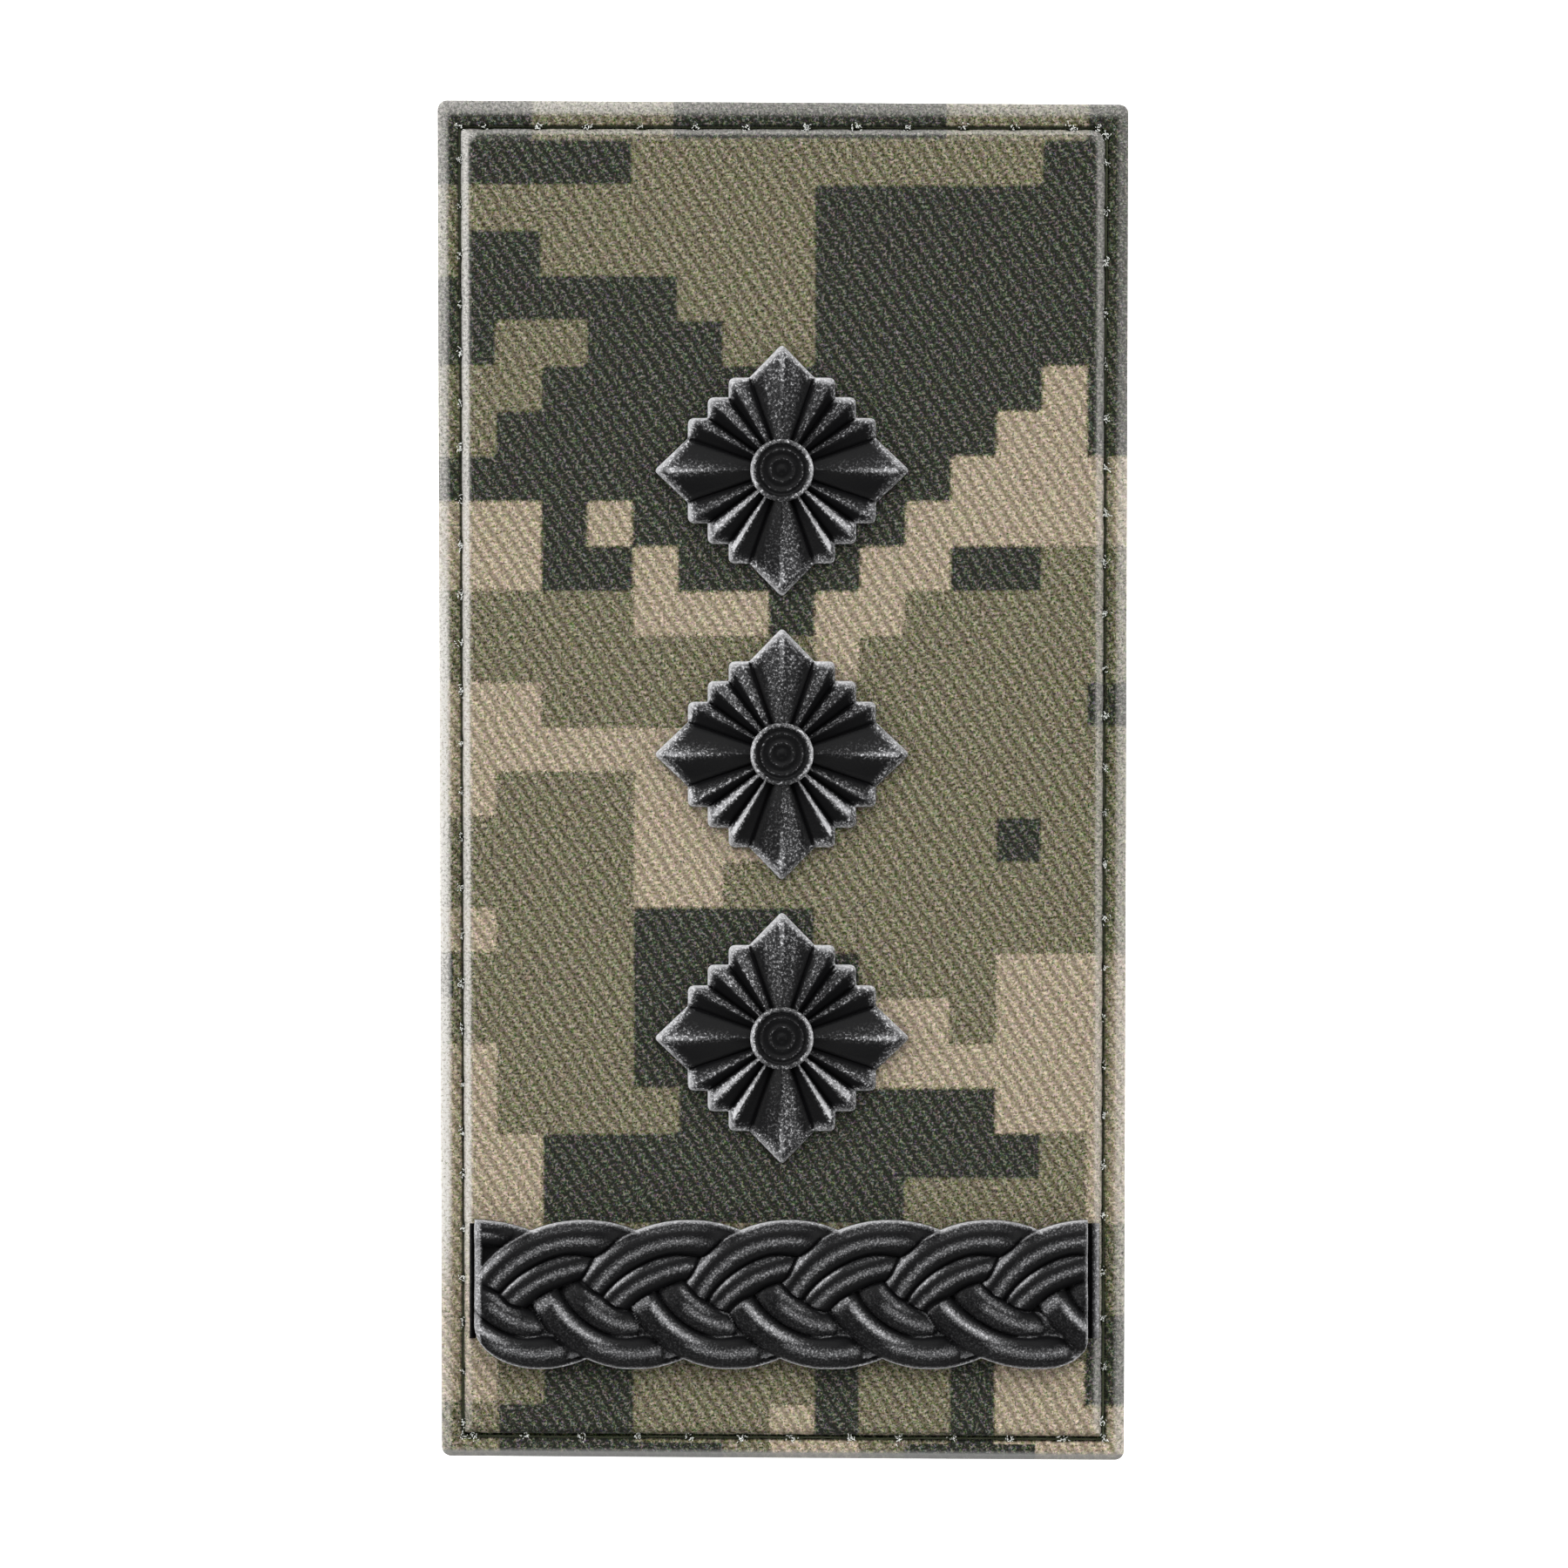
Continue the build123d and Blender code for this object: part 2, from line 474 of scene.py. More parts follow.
@dataclass(frozen=True)
class TwillWeave:
    """Cotton and polyester twill, four threads to a repeat, woven on a loom.

    The eye sees diagonal ribs made of short slanting rows of floats, with painted shade in their
    hollows and painted light on their tops, and a fuzzy grain with flecks where unprinted fibre
    shows through the print.
    """

    warp_pitch_mm: float = 0.246
    weft_pitch_mm: float = 0.388
    threads_per_repeat: int = 4
    row_edge: Span = (0.0, 0.3)
    row_hollow: float = 0.72
    float_edge: Span = (0.04, 0.36)
    float_share: float = 0.45
    wobble_mm: float = 0.14
    wobble_size_mm: float = 1.9
    # Real fibre grain is finer than 0.05 mm; it is drawn at 0.2 mm so that it shows.
    grain_size_mm: float = 0.2
    grain_roughness: float = 0.85
    relief_mm: float = 0.085
    # Painted shade in the hollows between floats and painted light on their tops, besides the bump.
    hollow_shade: float = 0.23
    painted_rib_light: float = 0.016
    rib_light_hue: tuple[float, float, float] = (0.92, 1.0, 0.8)
    fleck_share: float = 0.75
    fleck_gain: float = 2.5
    fleck_hue: float = 0.2
    fleck_in_hollow: float = 0.45
    darkest: tuple[float, float, float] = (0.006, 0.008, 0.004)

    def place(self, tree: bpy.types.NodeTree) -> bpy.types.NodeSocket:
        """Give the place on the flat cloth in millimetres, bent as real threads wander."""
        flat = add_node(tree, "ShaderNodeAttribute", {"attribute_name": "cloth_place"}).outputs["Vector"]
        wander = draw_grain(tree, flat, self.wobble_size_mm, detail=3.0).outputs["Color"]
        centred = calculate_colour(tree, "SUBTRACT", wander, NOISE_MIDDLE)
        reach = 4 * self.wobble_mm
        return calculate_colour(tree, "MULTIPLY_ADD", centred, (reach, reach, 0.0), flat)

    def threads(self, tree: bpy.types.NodeTree) -> dict[str, bpy.types.NodeSocket]:
        """Draw the floats of each weft row, a thread further along in every row, and the grain.

        Args:
            tree: the material's node tree.

        Returns:
            The sockets that carry the floats, the grain, the grain's colour and the height.
        """
        place = self.place(tree)
        apart = add_node(tree, "ShaderNodeSeparateXYZ", None, {0: place})
        row = calculate(tree, "DIVIDE", apart.outputs["Y"], self.weft_pitch_mm)
        from_edge = calculate(tree, "PINGPONG", row, 0.5)
        row_lift = remap(tree, from_edge, self.row_edge, (self.row_hollow, 1.0), smooth=True)
        row_number = calculate(tree, "FLOOR", row)
        shift = calculate(tree, "DIVIDE", row_number, float(self.threads_per_repeat))
        repeat = 1 / (self.warp_pitch_mm * self.threads_per_repeat)
        column = calculate(tree, "MULTIPLY_ADD", apart.outputs["X"], repeat, shift)
        float_lift = remap(tree, calculate(tree, "PINGPONG", column, 0.5), self.float_edge, smooth=True)
        floats = calculate(tree, "MULTIPLY", row_lift, float_lift)
        grain = draw_grain(tree, place, self.grain_size_mm, roughness=self.grain_roughness)
        height = calculate(tree, "MULTIPLY_ADD", floats, self.float_share, grain)
        return {"floats": floats, "height": height,
                "grain": grain.outputs["Fac"], "fleck": grain.outputs["Color"]}

    def shade(self, tree: bpy.types.NodeTree, colour: Feed,
              threads: dict[str, bpy.types.NodeSocket]) -> bpy.types.NodeSocket:
        """Paint shade into the hollows between floats and light onto their tops, and fleck the cloth with
        pale fibre.

        Args:
            tree: the material's node tree.
            colour: the dyed or printed colour.
            threads: what the method threads returned.

        Returns:
            The socket that carries the finished colour.
        """
        floats = threads["floats"]
        # Painted shade darkens the hollows between floats and painted light brightens their tops.
        lit = remap(tree, floats, target=(1 - self.hollow_shade, 1 + self.hollow_shade))
        rib_light = remap(tree, floats, target=(-self.painted_rib_light, self.painted_rib_light))
        tops = calculate_colour(tree, "MULTIPLY", rib_light, self.rib_light_hue)
        shaded = calculate_colour(tree, "MULTIPLY_ADD", colour, lit, tops)
        speckle = mix_colours(tree, self.fleck_hue, threads["grain"], threads["fleck"])
        centred = calculate_colour(tree, "SUBTRACT", speckle, NOISE_MIDDLE)
        on_top = remap(tree, floats, target=(self.fleck_in_hollow, 1.0))
        fleck = calculate_colour(tree, "MULTIPLY", centred, on_top)
        gain, share = (self.fleck_gain,) * 3, (self.fleck_share,) * 3
        strength = calculate_colour(tree, "MULTIPLY_ADD", shaded, gain, share)
        flecked = calculate_colour(tree, "MULTIPLY_ADD", fleck, strength, shaded)
        return calculate_colour(tree, "MAXIMUM", flecked, self.darkest)


@dataclass(frozen=True)
class CamouflageTwill:
    """Twill printed with three-tone block camouflage, then sewn and pressed.

    The print sits on the thread tops, so its edges are ragged by the weave. A painted sheen lies
    pale on the rim and the panel's flank, strongest at the left, and painted shade darkens the groove.
    """

    olive: str = "#77725c"
    dark: str = "#2f3529"
    tan: str = "#a69983"
    edge_grey: str = "#9a9a98"
    painted_groove_shade: str = "#434d26"
    painted_sheen_tone: str = "#e2dfda"
    exposure: float = 0.569
    roughness: float = 0.88
    ior: float = 1.53
    specular: float = 0.15
    sheen: float = 0.08
    sheen_roughness: float = 0.3
    fray_strength: float = 0.9
    fray_span: Span = (0.79, 1.39)
    sheen_grain: Span = (0.3, 0.7)
    sheen_spread: Span = (0.3, 1.6)
    relief_under_sheen: float = 0.35
    weave: TwillWeave = TwillWeave()

    def build(self) -> bpy.types.Material:
        """Make the printed cloth's material from the ink, edge and groove shares on the mesh."""
        material = new_material("camouflage_twill")
        tree = material.node_tree
        threads = self.weave.threads(tree)
        colour = self.lit(self.olive)
        for ink, code in ((Ink.DARK, self.dark), (Ink.TAN, self.tan)):
            colour = mix_colours(tree, self.frayed(tree, ink, threads["grain"]), colour, self.lit(code))
        # Painted shade: the groove and the rim beside it are darkened towards a dark green.
        colour = mix_colours(tree, read_share(tree, "groove"), colour, self.lit(self.painted_groove_shade))
        shaded = self.weave.shade(tree, colour, threads)
        # Painted sheen: a pale highlight laid over the rim and the panel's flank, after the pale cut edge.
        cut, painted_sheen = read_share(tree, "cut_edge"), read_share(tree, "painted_sheen")
        edged = mix_colours(tree, cut, shaded, self.lit(self.edge_grey))
        uneven = remap(tree, threads["grain"], self.sheen_grain, self.sheen_spread)
        laid = calculate(tree, "MULTIPLY", painted_sheen, uneven, clamp=True)
        with_painted_sheen = mix_colours(tree, laid, edged, self.lit(self.painted_sheen_tone))
        strength = remap(tree, calculate(tree, "MAXIMUM", painted_sheen, cut), target=(1.0, self.relief_under_sheen))
        bump = raise_relief(tree, threads["height"], self.weave.relief_mm, strength)
        finish_surface(tree, {"Base Color": with_painted_sheen, "Roughness": self.roughness, "IOR": self.ior,
                              "Specular IOR Level": self.specular, "Sheen Weight": self.sheen,
                              "Sheen Roughness": self.sheen_roughness, "Normal": bump})
        return material

    def frayed(self, tree: bpy.types.NodeTree, ink: Ink,
               grain: bpy.types.NodeSocket) -> bpy.types.NodeSocket:
        """Fray the edges of one ink by the cloth's grain."""
        uneven = calculate(tree, "MULTIPLY_ADD", grain, self.fray_strength, read_share(tree, ink.value))
        return remap(tree, uneven, self.fray_span, smooth=True)

    def lit(self, code: str) -> tuple[float, float, float, float]:
        """Turn a colour as seen under the studio light into the cloth's own colour."""
        red, green, blue, alpha = srgb_to_linear(code)
        return (red * self.exposure, green * self.exposure, blue * self.exposure, alpha)


@dataclass(frozen=True)
class OliveTwill:
    """The same twill dyed plain olive, for the sleeve behind.

    It looks like the camouflage cloth's ground with no print over it.
    """

    olive: str = "#6d6a52"
    roughness: float = 0.9
    ior: float = 1.53
    sheen: float = 0.25
    sheen_roughness: float = 0.45
    weave: TwillWeave = TwillWeave()

    def build(self) -> bpy.types.Material:
        """Make the dyed cloth's material."""
        material = new_material("olive_twill")
        tree = material.node_tree
        threads = self.weave.threads(tree)
        shaded = self.weave.shade(tree, srgb_to_linear(self.olive)[:3], threads)
        bump = raise_relief(tree, threads["height"], self.weave.relief_mm)
        finish_surface(tree, {"Base Color": shaded, "Roughness": self.roughness, "IOR": self.ior,
                              "Sheen Weight": self.sheen, "Sheen Roughness": self.sheen_roughness,
                              "Normal": bump})
        return material


@dataclass(frozen=True)
class MouldedRubber:
    """Black synthetic rubber pressed in a sandblasted mould.

    The skin is satin black with a fine grain; a pale grey is painted on ridges and rims, partly
    scuffing and partly painted highlight, with painted glints in the grain.
    """

    name: str = "moulded_rubber"
    black: str = "#0b0b0c"
    rubbed_or_lit: str = "#b4b4b6"
    roughness: float = 0.4
    rubbed_roughness: float = 0.6
    ior: float = 1.52
    specular: float = 0.05
    # Sandblast grit leaves pits of 0.05 mm; they are drawn at 0.19 mm so that they show.
    grain_size_mm: float = 0.19
    grain_roughness: float = 0.8
    grain_depth_mm: float = 0.02
    speck_span: Span = (0.41, 0.71)
    speck_power: float = 3.2
    speck_gain: float = 13.0
    solid_grain: Span = (0.3, 0.7)
    solid_span: Span = (0.55, 1.1)

    def build(self) -> bpy.types.Material:
        """Make the rubber's material from the share of scuffing and painted highlight on the mesh."""
        material = new_material(self.name)
        tree = material.node_tree
        place = add_node(tree, "ShaderNodeTexCoord").outputs["Object"]
        grain = draw_grain(tree, place, self.grain_size_mm * METRES_PER_MM, roughness=self.grain_roughness)
        rubbed_or_lit = read_share(tree, "rubbed_or_lit")
        crowded = calculate(tree, "POWER", remap(tree, grain, self.speck_span), self.speck_power)
        specks = calculate(tree, "MULTIPLY", crowded, self.speck_gain)
        solid = remap(tree, grain, self.solid_grain, self.solid_span)
        # Where the share of scuffing and painted highlight is small, the grain shows as painted glints in
        # specks; where it is full, the rubber is pale all over.
        evened = add_node(tree, "ShaderNodeMix", None, {0: rubbed_or_lit, 2: specks, 3: solid})
        pale = calculate(tree, "MULTIPLY", rubbed_or_lit, rubbed_or_lit)
        worn_or_lit = calculate(tree, "MULTIPLY", evened, pale, clamp=True)
        colour = mix_colours(tree, worn_or_lit, srgb_to_linear(self.black), srgb_to_linear(self.rubbed_or_lit))
        matt = remap(tree, worn_or_lit, target=(self.roughness, self.rubbed_roughness))
        bump = raise_relief(tree, grain, self.grain_depth_mm)
        finish_surface(tree, {"Base Color": colour, "Roughness": matt, "IOR": self.ior,
                              "Specular IOR Level": self.specular, "Normal": bump})
        return material


@dataclass(frozen=True)
class SewingThread:
    """Two-ply spun polyester sewing thread, twisted and dyed.

    It shows as a dull cord with slanting plies and a slight fuzz.
    """

    name: str
    dye: str
    roughness: float = 0.75
    ior: float = 1.55
    sheen: float = 0.3
    fibre_size_mm: float = 0.08
    fibre_grain: Span = (0.3, 0.7)
    fibre_span: Span = (0.55, 1.4)

    def build(self) -> bpy.types.Material:
        """Make the thread's material."""
        material = new_material(self.name)
        tree = material.node_tree
        place = add_node(tree, "ShaderNodeTexCoord").outputs["Object"]
        fibre = draw_grain(tree, place, self.fibre_size_mm * METRES_PER_MM)
        level = remap(tree, fibre, self.fibre_grain, self.fibre_span)
        colour = calculate_colour(tree, "MULTIPLY", srgb_to_linear(self.dye)[:3], level)
        finish_surface(tree, {"Base Color": colour, "Roughness": self.roughness, "IOR": self.ior,
                              "Sheen Weight": self.sheen})
        return material


@dataclass(frozen=True)
class PaleFloor:
    """Matt white table paper, evenly lit from below its surface as on a product table."""

    white: str = "#f7f7f7"
    glow: float = 0.75
    roughness: float = 0.9

    def build(self) -> bpy.types.Material:
        """Make the floor's material."""
        material = new_material("white_table")
        finish_surface(material.node_tree, {
            "Base Color": srgb_to_linear(self.white), "Roughness": self.roughness,
            "Emission Color": (1.0, 1.0, 1.0, 1.0), "Emission Strength": self.glow})
        return material


class Patch(NamedTuple):
    """One printed rectangle in blocks: its left and right column and its top and bottom row."""

    left: float
    right: float
    top: float
    bottom: float


@dataclass
class CamouflagePrint:
    """Block camouflage drawn on a grid of print blocks, from the top down.

    Columns are counted from the left of the raised panel and rows from its top. Patches that
    pass the cloth's edge are cut off there, and tan patches cover dark ones.
    """

    block_width: float = 3.33
    block_height: float = 3.325
    first_column_x: float = -24.33
    first_row_y: float = 47.1
    columns: tuple[int, int] = (-1, 16)
    rows: tuple[int, int] = (-1, 30)
    dark: tuple[Patch, ...] = (
        Patch(-1, 1.8, -1, 0), Patch(4.9, 10.9, -1, 0), Patch(14, 16, -1, 0), Patch(-1, 4, 0, 1),
        Patch(13, 16, 0, 1), Patch(8, 16, 1, 5), Patch(0.3, 2, 2, 3), Patch(-1, 5, 3, 4),
        Patch(-1, 1, 4, 5), Patch(3, 6, 4, 5), Patch(2, 13, 5, 6), Patch(14, 16, 5, 7),
        Patch(1, 12, 6, 7), Patch(-1, 11, 7, 8), Patch(2, 10, 8, 9), Patch(2, 9, 9, 10),
        Patch(11, 13, 9, 10), Patch(7, 8, 10, 11), Patch(14, 16, 12, 13), Patch(12, 13, 15, 16),
        Patch(4, 8, 17, 18), Patch(-1, 0, 18, 19), Patch(4, 9, 18, 21), Patch(5, 12, 21, 22),
        Patch(2, 13, 22, 23), Patch(2, 10, 23, 24), Patch(14, 16, 26, 28), Patch(2, 4, 27, 28),
        Patch(1, 4, 28, 29), Patch(1, 6, 28.86, 30), Patch(8, 9, 27, 28.72), Patch(11, 12, 27, 29),
        Patch(10, 12.9, 28.86, 30))
    tan: tuple[Patch, ...] = (
        Patch(13, 14, 5, 6), Patch(12, 14, 6, 7), Patch(11, 16, 7, 8), Patch(10, 16, 8, 9),
        Patch(9, 11, 9, 10), Patch(8, 10, 10, 11), Patch(8, 9, 11, 12), Patch(3, 4, 8, 9),
        Patch(4, 5, 9, 10), Patch(4, 7, 10, 11), Patch(-1, 2, 8, 10), Patch(-1, 2, 12, 13),
        Patch(-1, 6, 13, 14), Patch(-1, 1, 14, 15), Patch(4, 7, 14, 16), Patch(4, 6, 16, 17),
        Patch(-1, 1, 17, 18), Patch(12, 16, 18, 20), Patch(9, 11, 19, 20), Patch(9, 16, 20, 21),
        Patch(12, 16, 21, 22), Patch(14, 16, 22, 24), Patch(-1, 1, 20, 22), Patch(-1, 2, 22, 27),
        Patch(-1, 1, 27, 28), Patch(12, 14, 27, 28), Patch(12, 16, 28, 28.86), Patch(7, 8, 28, 29),
        Patch(7, 9, 28.86, 30), Patch(8, 9, 28.72, 30), Patch(12.9, 16, 28.86, 30))

    def column_edges(self) -> np.ndarray:
        """Give the places across the cloth where one column of blocks ends."""
        return self.first_column_x + self.block_width * np.arange(self.columns[0], self.columns[1] + 1)

    def row_edges(self) -> np.ndarray:
        """Give the places along the cloth where one row of blocks ends."""
        return self.first_row_y - self.block_height * np.arange(self.rows[0], self.rows[1] + 1)

    def shares(self, x: np.ndarray, y: np.ndarray) -> dict[Ink, np.ndarray]:
        """Say which ink covers each point.

        Args:
            x: places across the cloth.
            y: places along the cloth.

        Returns:
            For each ink, 1 where it covers the point and 0 elsewhere.
        """
        column = (x - self.first_column_x) / self.block_width
        row = (self.first_row_y - y) / self.block_height
        found = {ink: np.zeros(len(x)) for ink in Ink}
        for ink, patches in ((Ink.DARK, self.dark), (Ink.TAN, self.tan)):
            for left, right, top, bottom in patches:
                inside = (column >= left) & (column < right) & (row >= top) & (row < bottom)
                found[ink][inside] = 1.0
        found[Ink.DARK][found[Ink.TAN] > 0] = 0.0
        return found


class Sides(NamedTuple):
    """One value for each side of the board, as the camera sees it."""

    left: float
    right: float
    top: float
    bottom: float

    def of(self, side: Side) -> float:
        """Give one side's value."""
        return getattr(self, side.value)


@dataclass
class BoardCloth:
    """The padded front: rolled rim, sewn groove and raised panel in one printed cloth."""

    node: str = "board_front"
    roll_radius: float = 0.55
    corner_radius: float = 0.7
    back_radius: float = 0.45
    back_inset: float = 3.0
    wall_rings: int = 4
    rim_height: float = 2.0
    rim_sag: float = 0.05
    # How far the raised panel's foot lies from the board's outline.
    panel_foot: Sides = Sides(1.65, 1.66, 2.0, 1.69)
    panel_corner_cut: float = 0.6
    panel_flank: float = 0.62
    flank_power: float = 2.2
    panel_gap: float = 0.02
    groove_width: Sides = Sides(0.12, 0.18, 0.24, 0.4)
    width_at_ends: float = 0.9
    groove_wall: float = 0.13
    groove_floor: float = 1.0
    groove_zone: Span = (1.0, 2.2)
    cloth_waves: float = 0.035
    needle_dip: float = 0.22
    needle_reach: float = 0.42
    edge_pull: float = 0.09
    # The painted sheen, a pale highlight on the rim that is strongest at the left: how wide and strong it
    # lies and where it weakens.
    sheen_width: float = 0.72
    sheen_width_top: float = 0.95
    painted_sheen: Sides = Sides(0.95, 0.36, 0.37, 0.0)
    sheen_top_left: float = 0.4
    sheen_top_left_x: Span = (-2.0, -14.0)
    sheen_on_dark: float = 0.78
    sheen_on_wall: float = 0.35
    sheen_low_end: float = 0.72
    sheen_low_end_y: Span = (-31.0, -40.0)
    sheen_high_end: Span = (0.4, 0.45)
    sheen_high_end_y: tuple[Span, Span] = ((7.0, 20.0), (15.0, 40.0))
    # Painted highlight on the panel's flank by side, and how far it reaches.
    painted_flank_highlight: Sides = Sides(0.74, 0.33, 0.37, 0.0)
    flank_reach: Sides = Sides(0.78, 0.78, 0.62, 0.62)
    # Painted shade on the rim beside the groove, by side.
    rim_shade: Sides = Sides(0.35, 0.55, 0.0, 0.0)
    rim_shade_zone: Span = (-1.1, -0.15)
    # The pale cut edge at the lower side, and its faint fray on the walls below the roll.
    cut_edge_band: float = 0.51
    cut_edge_blur: float = 0.06
    cut_edge_cover: float = 0.79
    cut_edge_sides: float = 0.3
    below_rim: Span = (0.35, 0.75)
    # How the sewn board leans out of square.
    stretch: float = 0.0025
    taper: float = 0.0065
    skew: float = 0.0063
    skew_powers: Span = (30.0, 3.0)
    top_short: float = 0.07
    edge_lines: tuple[float, ...] = (
        0, 0.03, 0.08, 0.16, 0.26, 0.38, 0.52, 0.7, 0.9, 1.08, 1.2, 1.28, 1.36, 1.43,
        1.49, 1.54, 1.59, 1.64, 1.69, 1.74, 1.8, 1.86, 1.92, 1.98, 2.06, 2.2, 2.37, 2.56)
    print_step: float = 0.25
    columns_per_block: int = 8
    rows_per_block: int = 11

    def __post_init__(self) -> None:
        """Take the board's place and size from the CAD node."""
        box = NodeBox(self.node)
        self.half_x = box.size[0] / 2
        self.half_y = box.size[1] / 2
        self.back_z = box.low[2]
        self.panel_height = box.size[2]
        self.print = CamouflagePrint()

    def lines(self, half: float, edges: np.ndarray, per_block: int) -> np.ndarray:
        """Place grid lines densely at the rim and on both sides of each print edge.

        Args:
            half: half the board's size in this direction.
            edges: where the print's blocks end in this direction.
            per_block: lines from one block edge to the next.

        Returns:
            The lines from one side to the other.
        """
        rim = np.array(self.edge_lines)
        block = abs(edges[1] - edges[0])
        wanted = [np.linspace(edge, edge + block, per_block, endpoint=False)[1:] for edge in edges]
        places = np.concatenate([*wanted, edges - self.print_step, edges + self.print_step])
        places = np.sort(places[np.abs(places) < half - rim[-1] - 0.1])
        return np.concatenate([-half + rim, places, half - rim[::-1]])

    def at_side(self, x: np.ndarray, y: np.ndarray, sides: Sides) -> np.ndarray:
        """Give each point the value of the side that it is nearest to."""
        beside = np.where(x < 0, sides.left, sides.right)
        past = np.where(y > 0, sides.top, sides.bottom)
        return np.where(self.half_x - np.abs(x) < self.half_y - np.abs(y), beside, past)

    def outline_inset(self, x: np.ndarray, y: np.ndarray) -> np.ndarray:
        """Measure how far inside the board's rounded outline points lie."""
        over_x = np.maximum(np.abs(x) - (self.half_x - self.corner_radius), 0)
        over_y = np.maximum(np.abs(y) - (self.half_y - self.corner_radius), 0)
        straight = np.minimum(self.half_x - np.abs(x), self.half_y - np.abs(y))
        corner = self.corner_radius - np.hypot(over_x, over_y)
        return np.where((over_x > 0) & (over_y > 0), corner, straight)

    def panel_inset(self, x: np.ndarray, y: np.ndarray, pinch: np.ndarray) -> np.ndarray:
        """Measure how far inside the raised panel's foot points lie, with its corner cut off.

        Args:
            x: places across the board.
            y: places along the board.
            pinch: how much a needle hole pulls on each point.

        Returns:
            The distance for each point, below 0 outside the panel.
        """
        from_right = self.half_x - self.panel_foot.right - x
        from_top = self.half_y - self.panel_foot.top - y
        across = np.minimum(x + self.half_x - self.panel_foot.left, from_right)
        along = np.minimum(y + self.half_y - self.panel_foot.bottom, from_top)
        slant = (from_right + from_top - self.panel_corner_cut) / math.sqrt(2)
        return np.minimum(np.minimum(across, along), slant) - self.edge_pull * pinch

    def width_at(self, x: np.ndarray, y: np.ndarray) -> np.ndarray:
        """Give the groove's width beside each point, wider near the ends of the long sides."""
        gaping = self.width_at_ends * smooth_step(0.6, 0.95, np.abs(y) / self.half_y)
        return self.at_side(x, y, self.groove_width) * (1 + gaping * self.at_side(x, y, Sides(1, 1, 0, 0)))

    def pinch(self, x: np.ndarray, y: np.ndarray, holes: np.ndarray) -> np.ndarray:
        """Say how much a needle hole pulls on each point.

        Args:
            x: places across the board.
            y: places along the board.
            holes: the needle holes' places.

        Returns:
            1 at a hole, falling to 0 beside it.
        """
        nearest = np.full(len(x), 9.0)
        for hole in holes:
            nearest = np.minimum(nearest, np.hypot(x - hole[0], y - hole[1]))
        return bell(nearest, 0.0, self.needle_reach)

    def height(self, x: np.ndarray, y: np.ndarray, holes: np.ndarray) -> np.ndarray:
        """Give the cloth's height over the board's back.

        Args:
            x: places across the board.
            y: places along the board.
            holes: the needle holes' places.

        Returns:
            The height at each place.
        """
        inset = np.maximum(self.outline_inset(x, y), 0)
        pinch = self.pinch(x, y, holes)
        foot = self.panel_inset(x, y, pinch)
        roll = self.roll_radius
        rolled = np.sqrt(np.maximum(roll ** 2 - np.maximum(roll - inset, 0) ** 2, 0)) - roll
        sag = self.rim_sag * smooth_step(-0.9, -0.3, foot)
        rim = self.rim_height + rolled - sag - self.needle_dip * pinch
        drop = smooth_step(0.0, 1.0, (self.width_at(x, y) + 0.1 * pinch + foot) / self.groove_wall)
        low = rim * (1 - drop) + self.groove_floor * drop
        rise = np.clip(foot / self.panel_flank, 0, 1)
        climb = np.sqrt(1 - (1 - rise) ** self.flank_power)
        waves = np.sin(x * 0.9 + 1.3 * np.sin(y * 0.31)) * np.sin(y * 0.57 + 0.8 * np.sin(x * 0.43))
        top = self.panel_height - self.panel_gap - self.cloth_waves * (0.5 + 0.5 * waves)
        top = top - 0.5 * self.needle_dip * pinch
        return low + (top - low) * climb

    def build(self, holes: np.ndarray) -> bpy.types.Object:
        """Build the cloth's mesh and store its print, edge, painted sheen and groove painted shade shares.

        Args:
            holes: the needle holes' places in the groove.

        Returns:
            The cloth, riding on the frame in place of its CAD node.
        """
        across = self.lines(self.half_x, self.print.column_edges(), self.columns_per_block)
        along = self.lines(self.half_y, np.sort(self.print.row_edges()), self.rows_per_block)
        x, y = self.round_corners(*(part.ravel() for part in np.meshgrid(across, along)))
        top = np.column_stack([x, y, self.height(x, y, holes) + self.back_z])
        rim = grid_rim(len(along), len(across))
        outer = top[rim]
        straight = np.array([self.half_x, self.half_y]) - self.corner_radius
        outward = outer[:, :2] - np.clip(outer[:, :2], -straight, straight)
        outward /= np.linalg.norm(outward, axis=1)[:, None]
        points, flats = [top], [top[:, :2]]
        faces = grid_faces(len(along), len(across)).tolist()
        upper, start = rim, len(top)
        for inset, level in self.wall_levels():
            ring = np.column_stack([outer[:, :2] - outward * inset, np.full(len(rim), self.back_z + level)])
            points.append(ring)
            flats.append(outer[:, :2] + outward * (self.rim_height - level + inset))
            lower = np.arange(start, start + len(rim))
            faces.extend(ring_faces(lower, upper).tolist())
            upper, start = lower, start + len(rim)
        faces.append(upper[::-1].tolist())
        square, flat = np.concatenate(points), np.concatenate(flats)
        cloth = mesh_piece("board_cloth", self.out_of_square(square), faces)
        store_cloth_place(cloth, flat)
        self.store_tones(cloth, square, flat, holes)
        cloth.data.materials.append(CamouflageTwill().build())
        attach(cloth, "root")
        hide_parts(self.node)
        return cloth

    def wall_levels(self) -> list[Span]:
        """List how far in and how high each ring below the rim lies, down to the back."""
        wall = np.linspace(self.rim_height - self.roll_radius, self.back_radius, self.wall_rings + 1)[1:]
        levels = [(0.0, level) for level in wall]
        for turn in np.linspace(0, math.pi / 2, self.wall_rings + 1)[1:]:
            levels.append((self.back_radius * (1 - math.cos(turn)), self.back_radius * (1 - math.sin(turn))))
        return levels + [(self.back_inset, 0.0)]

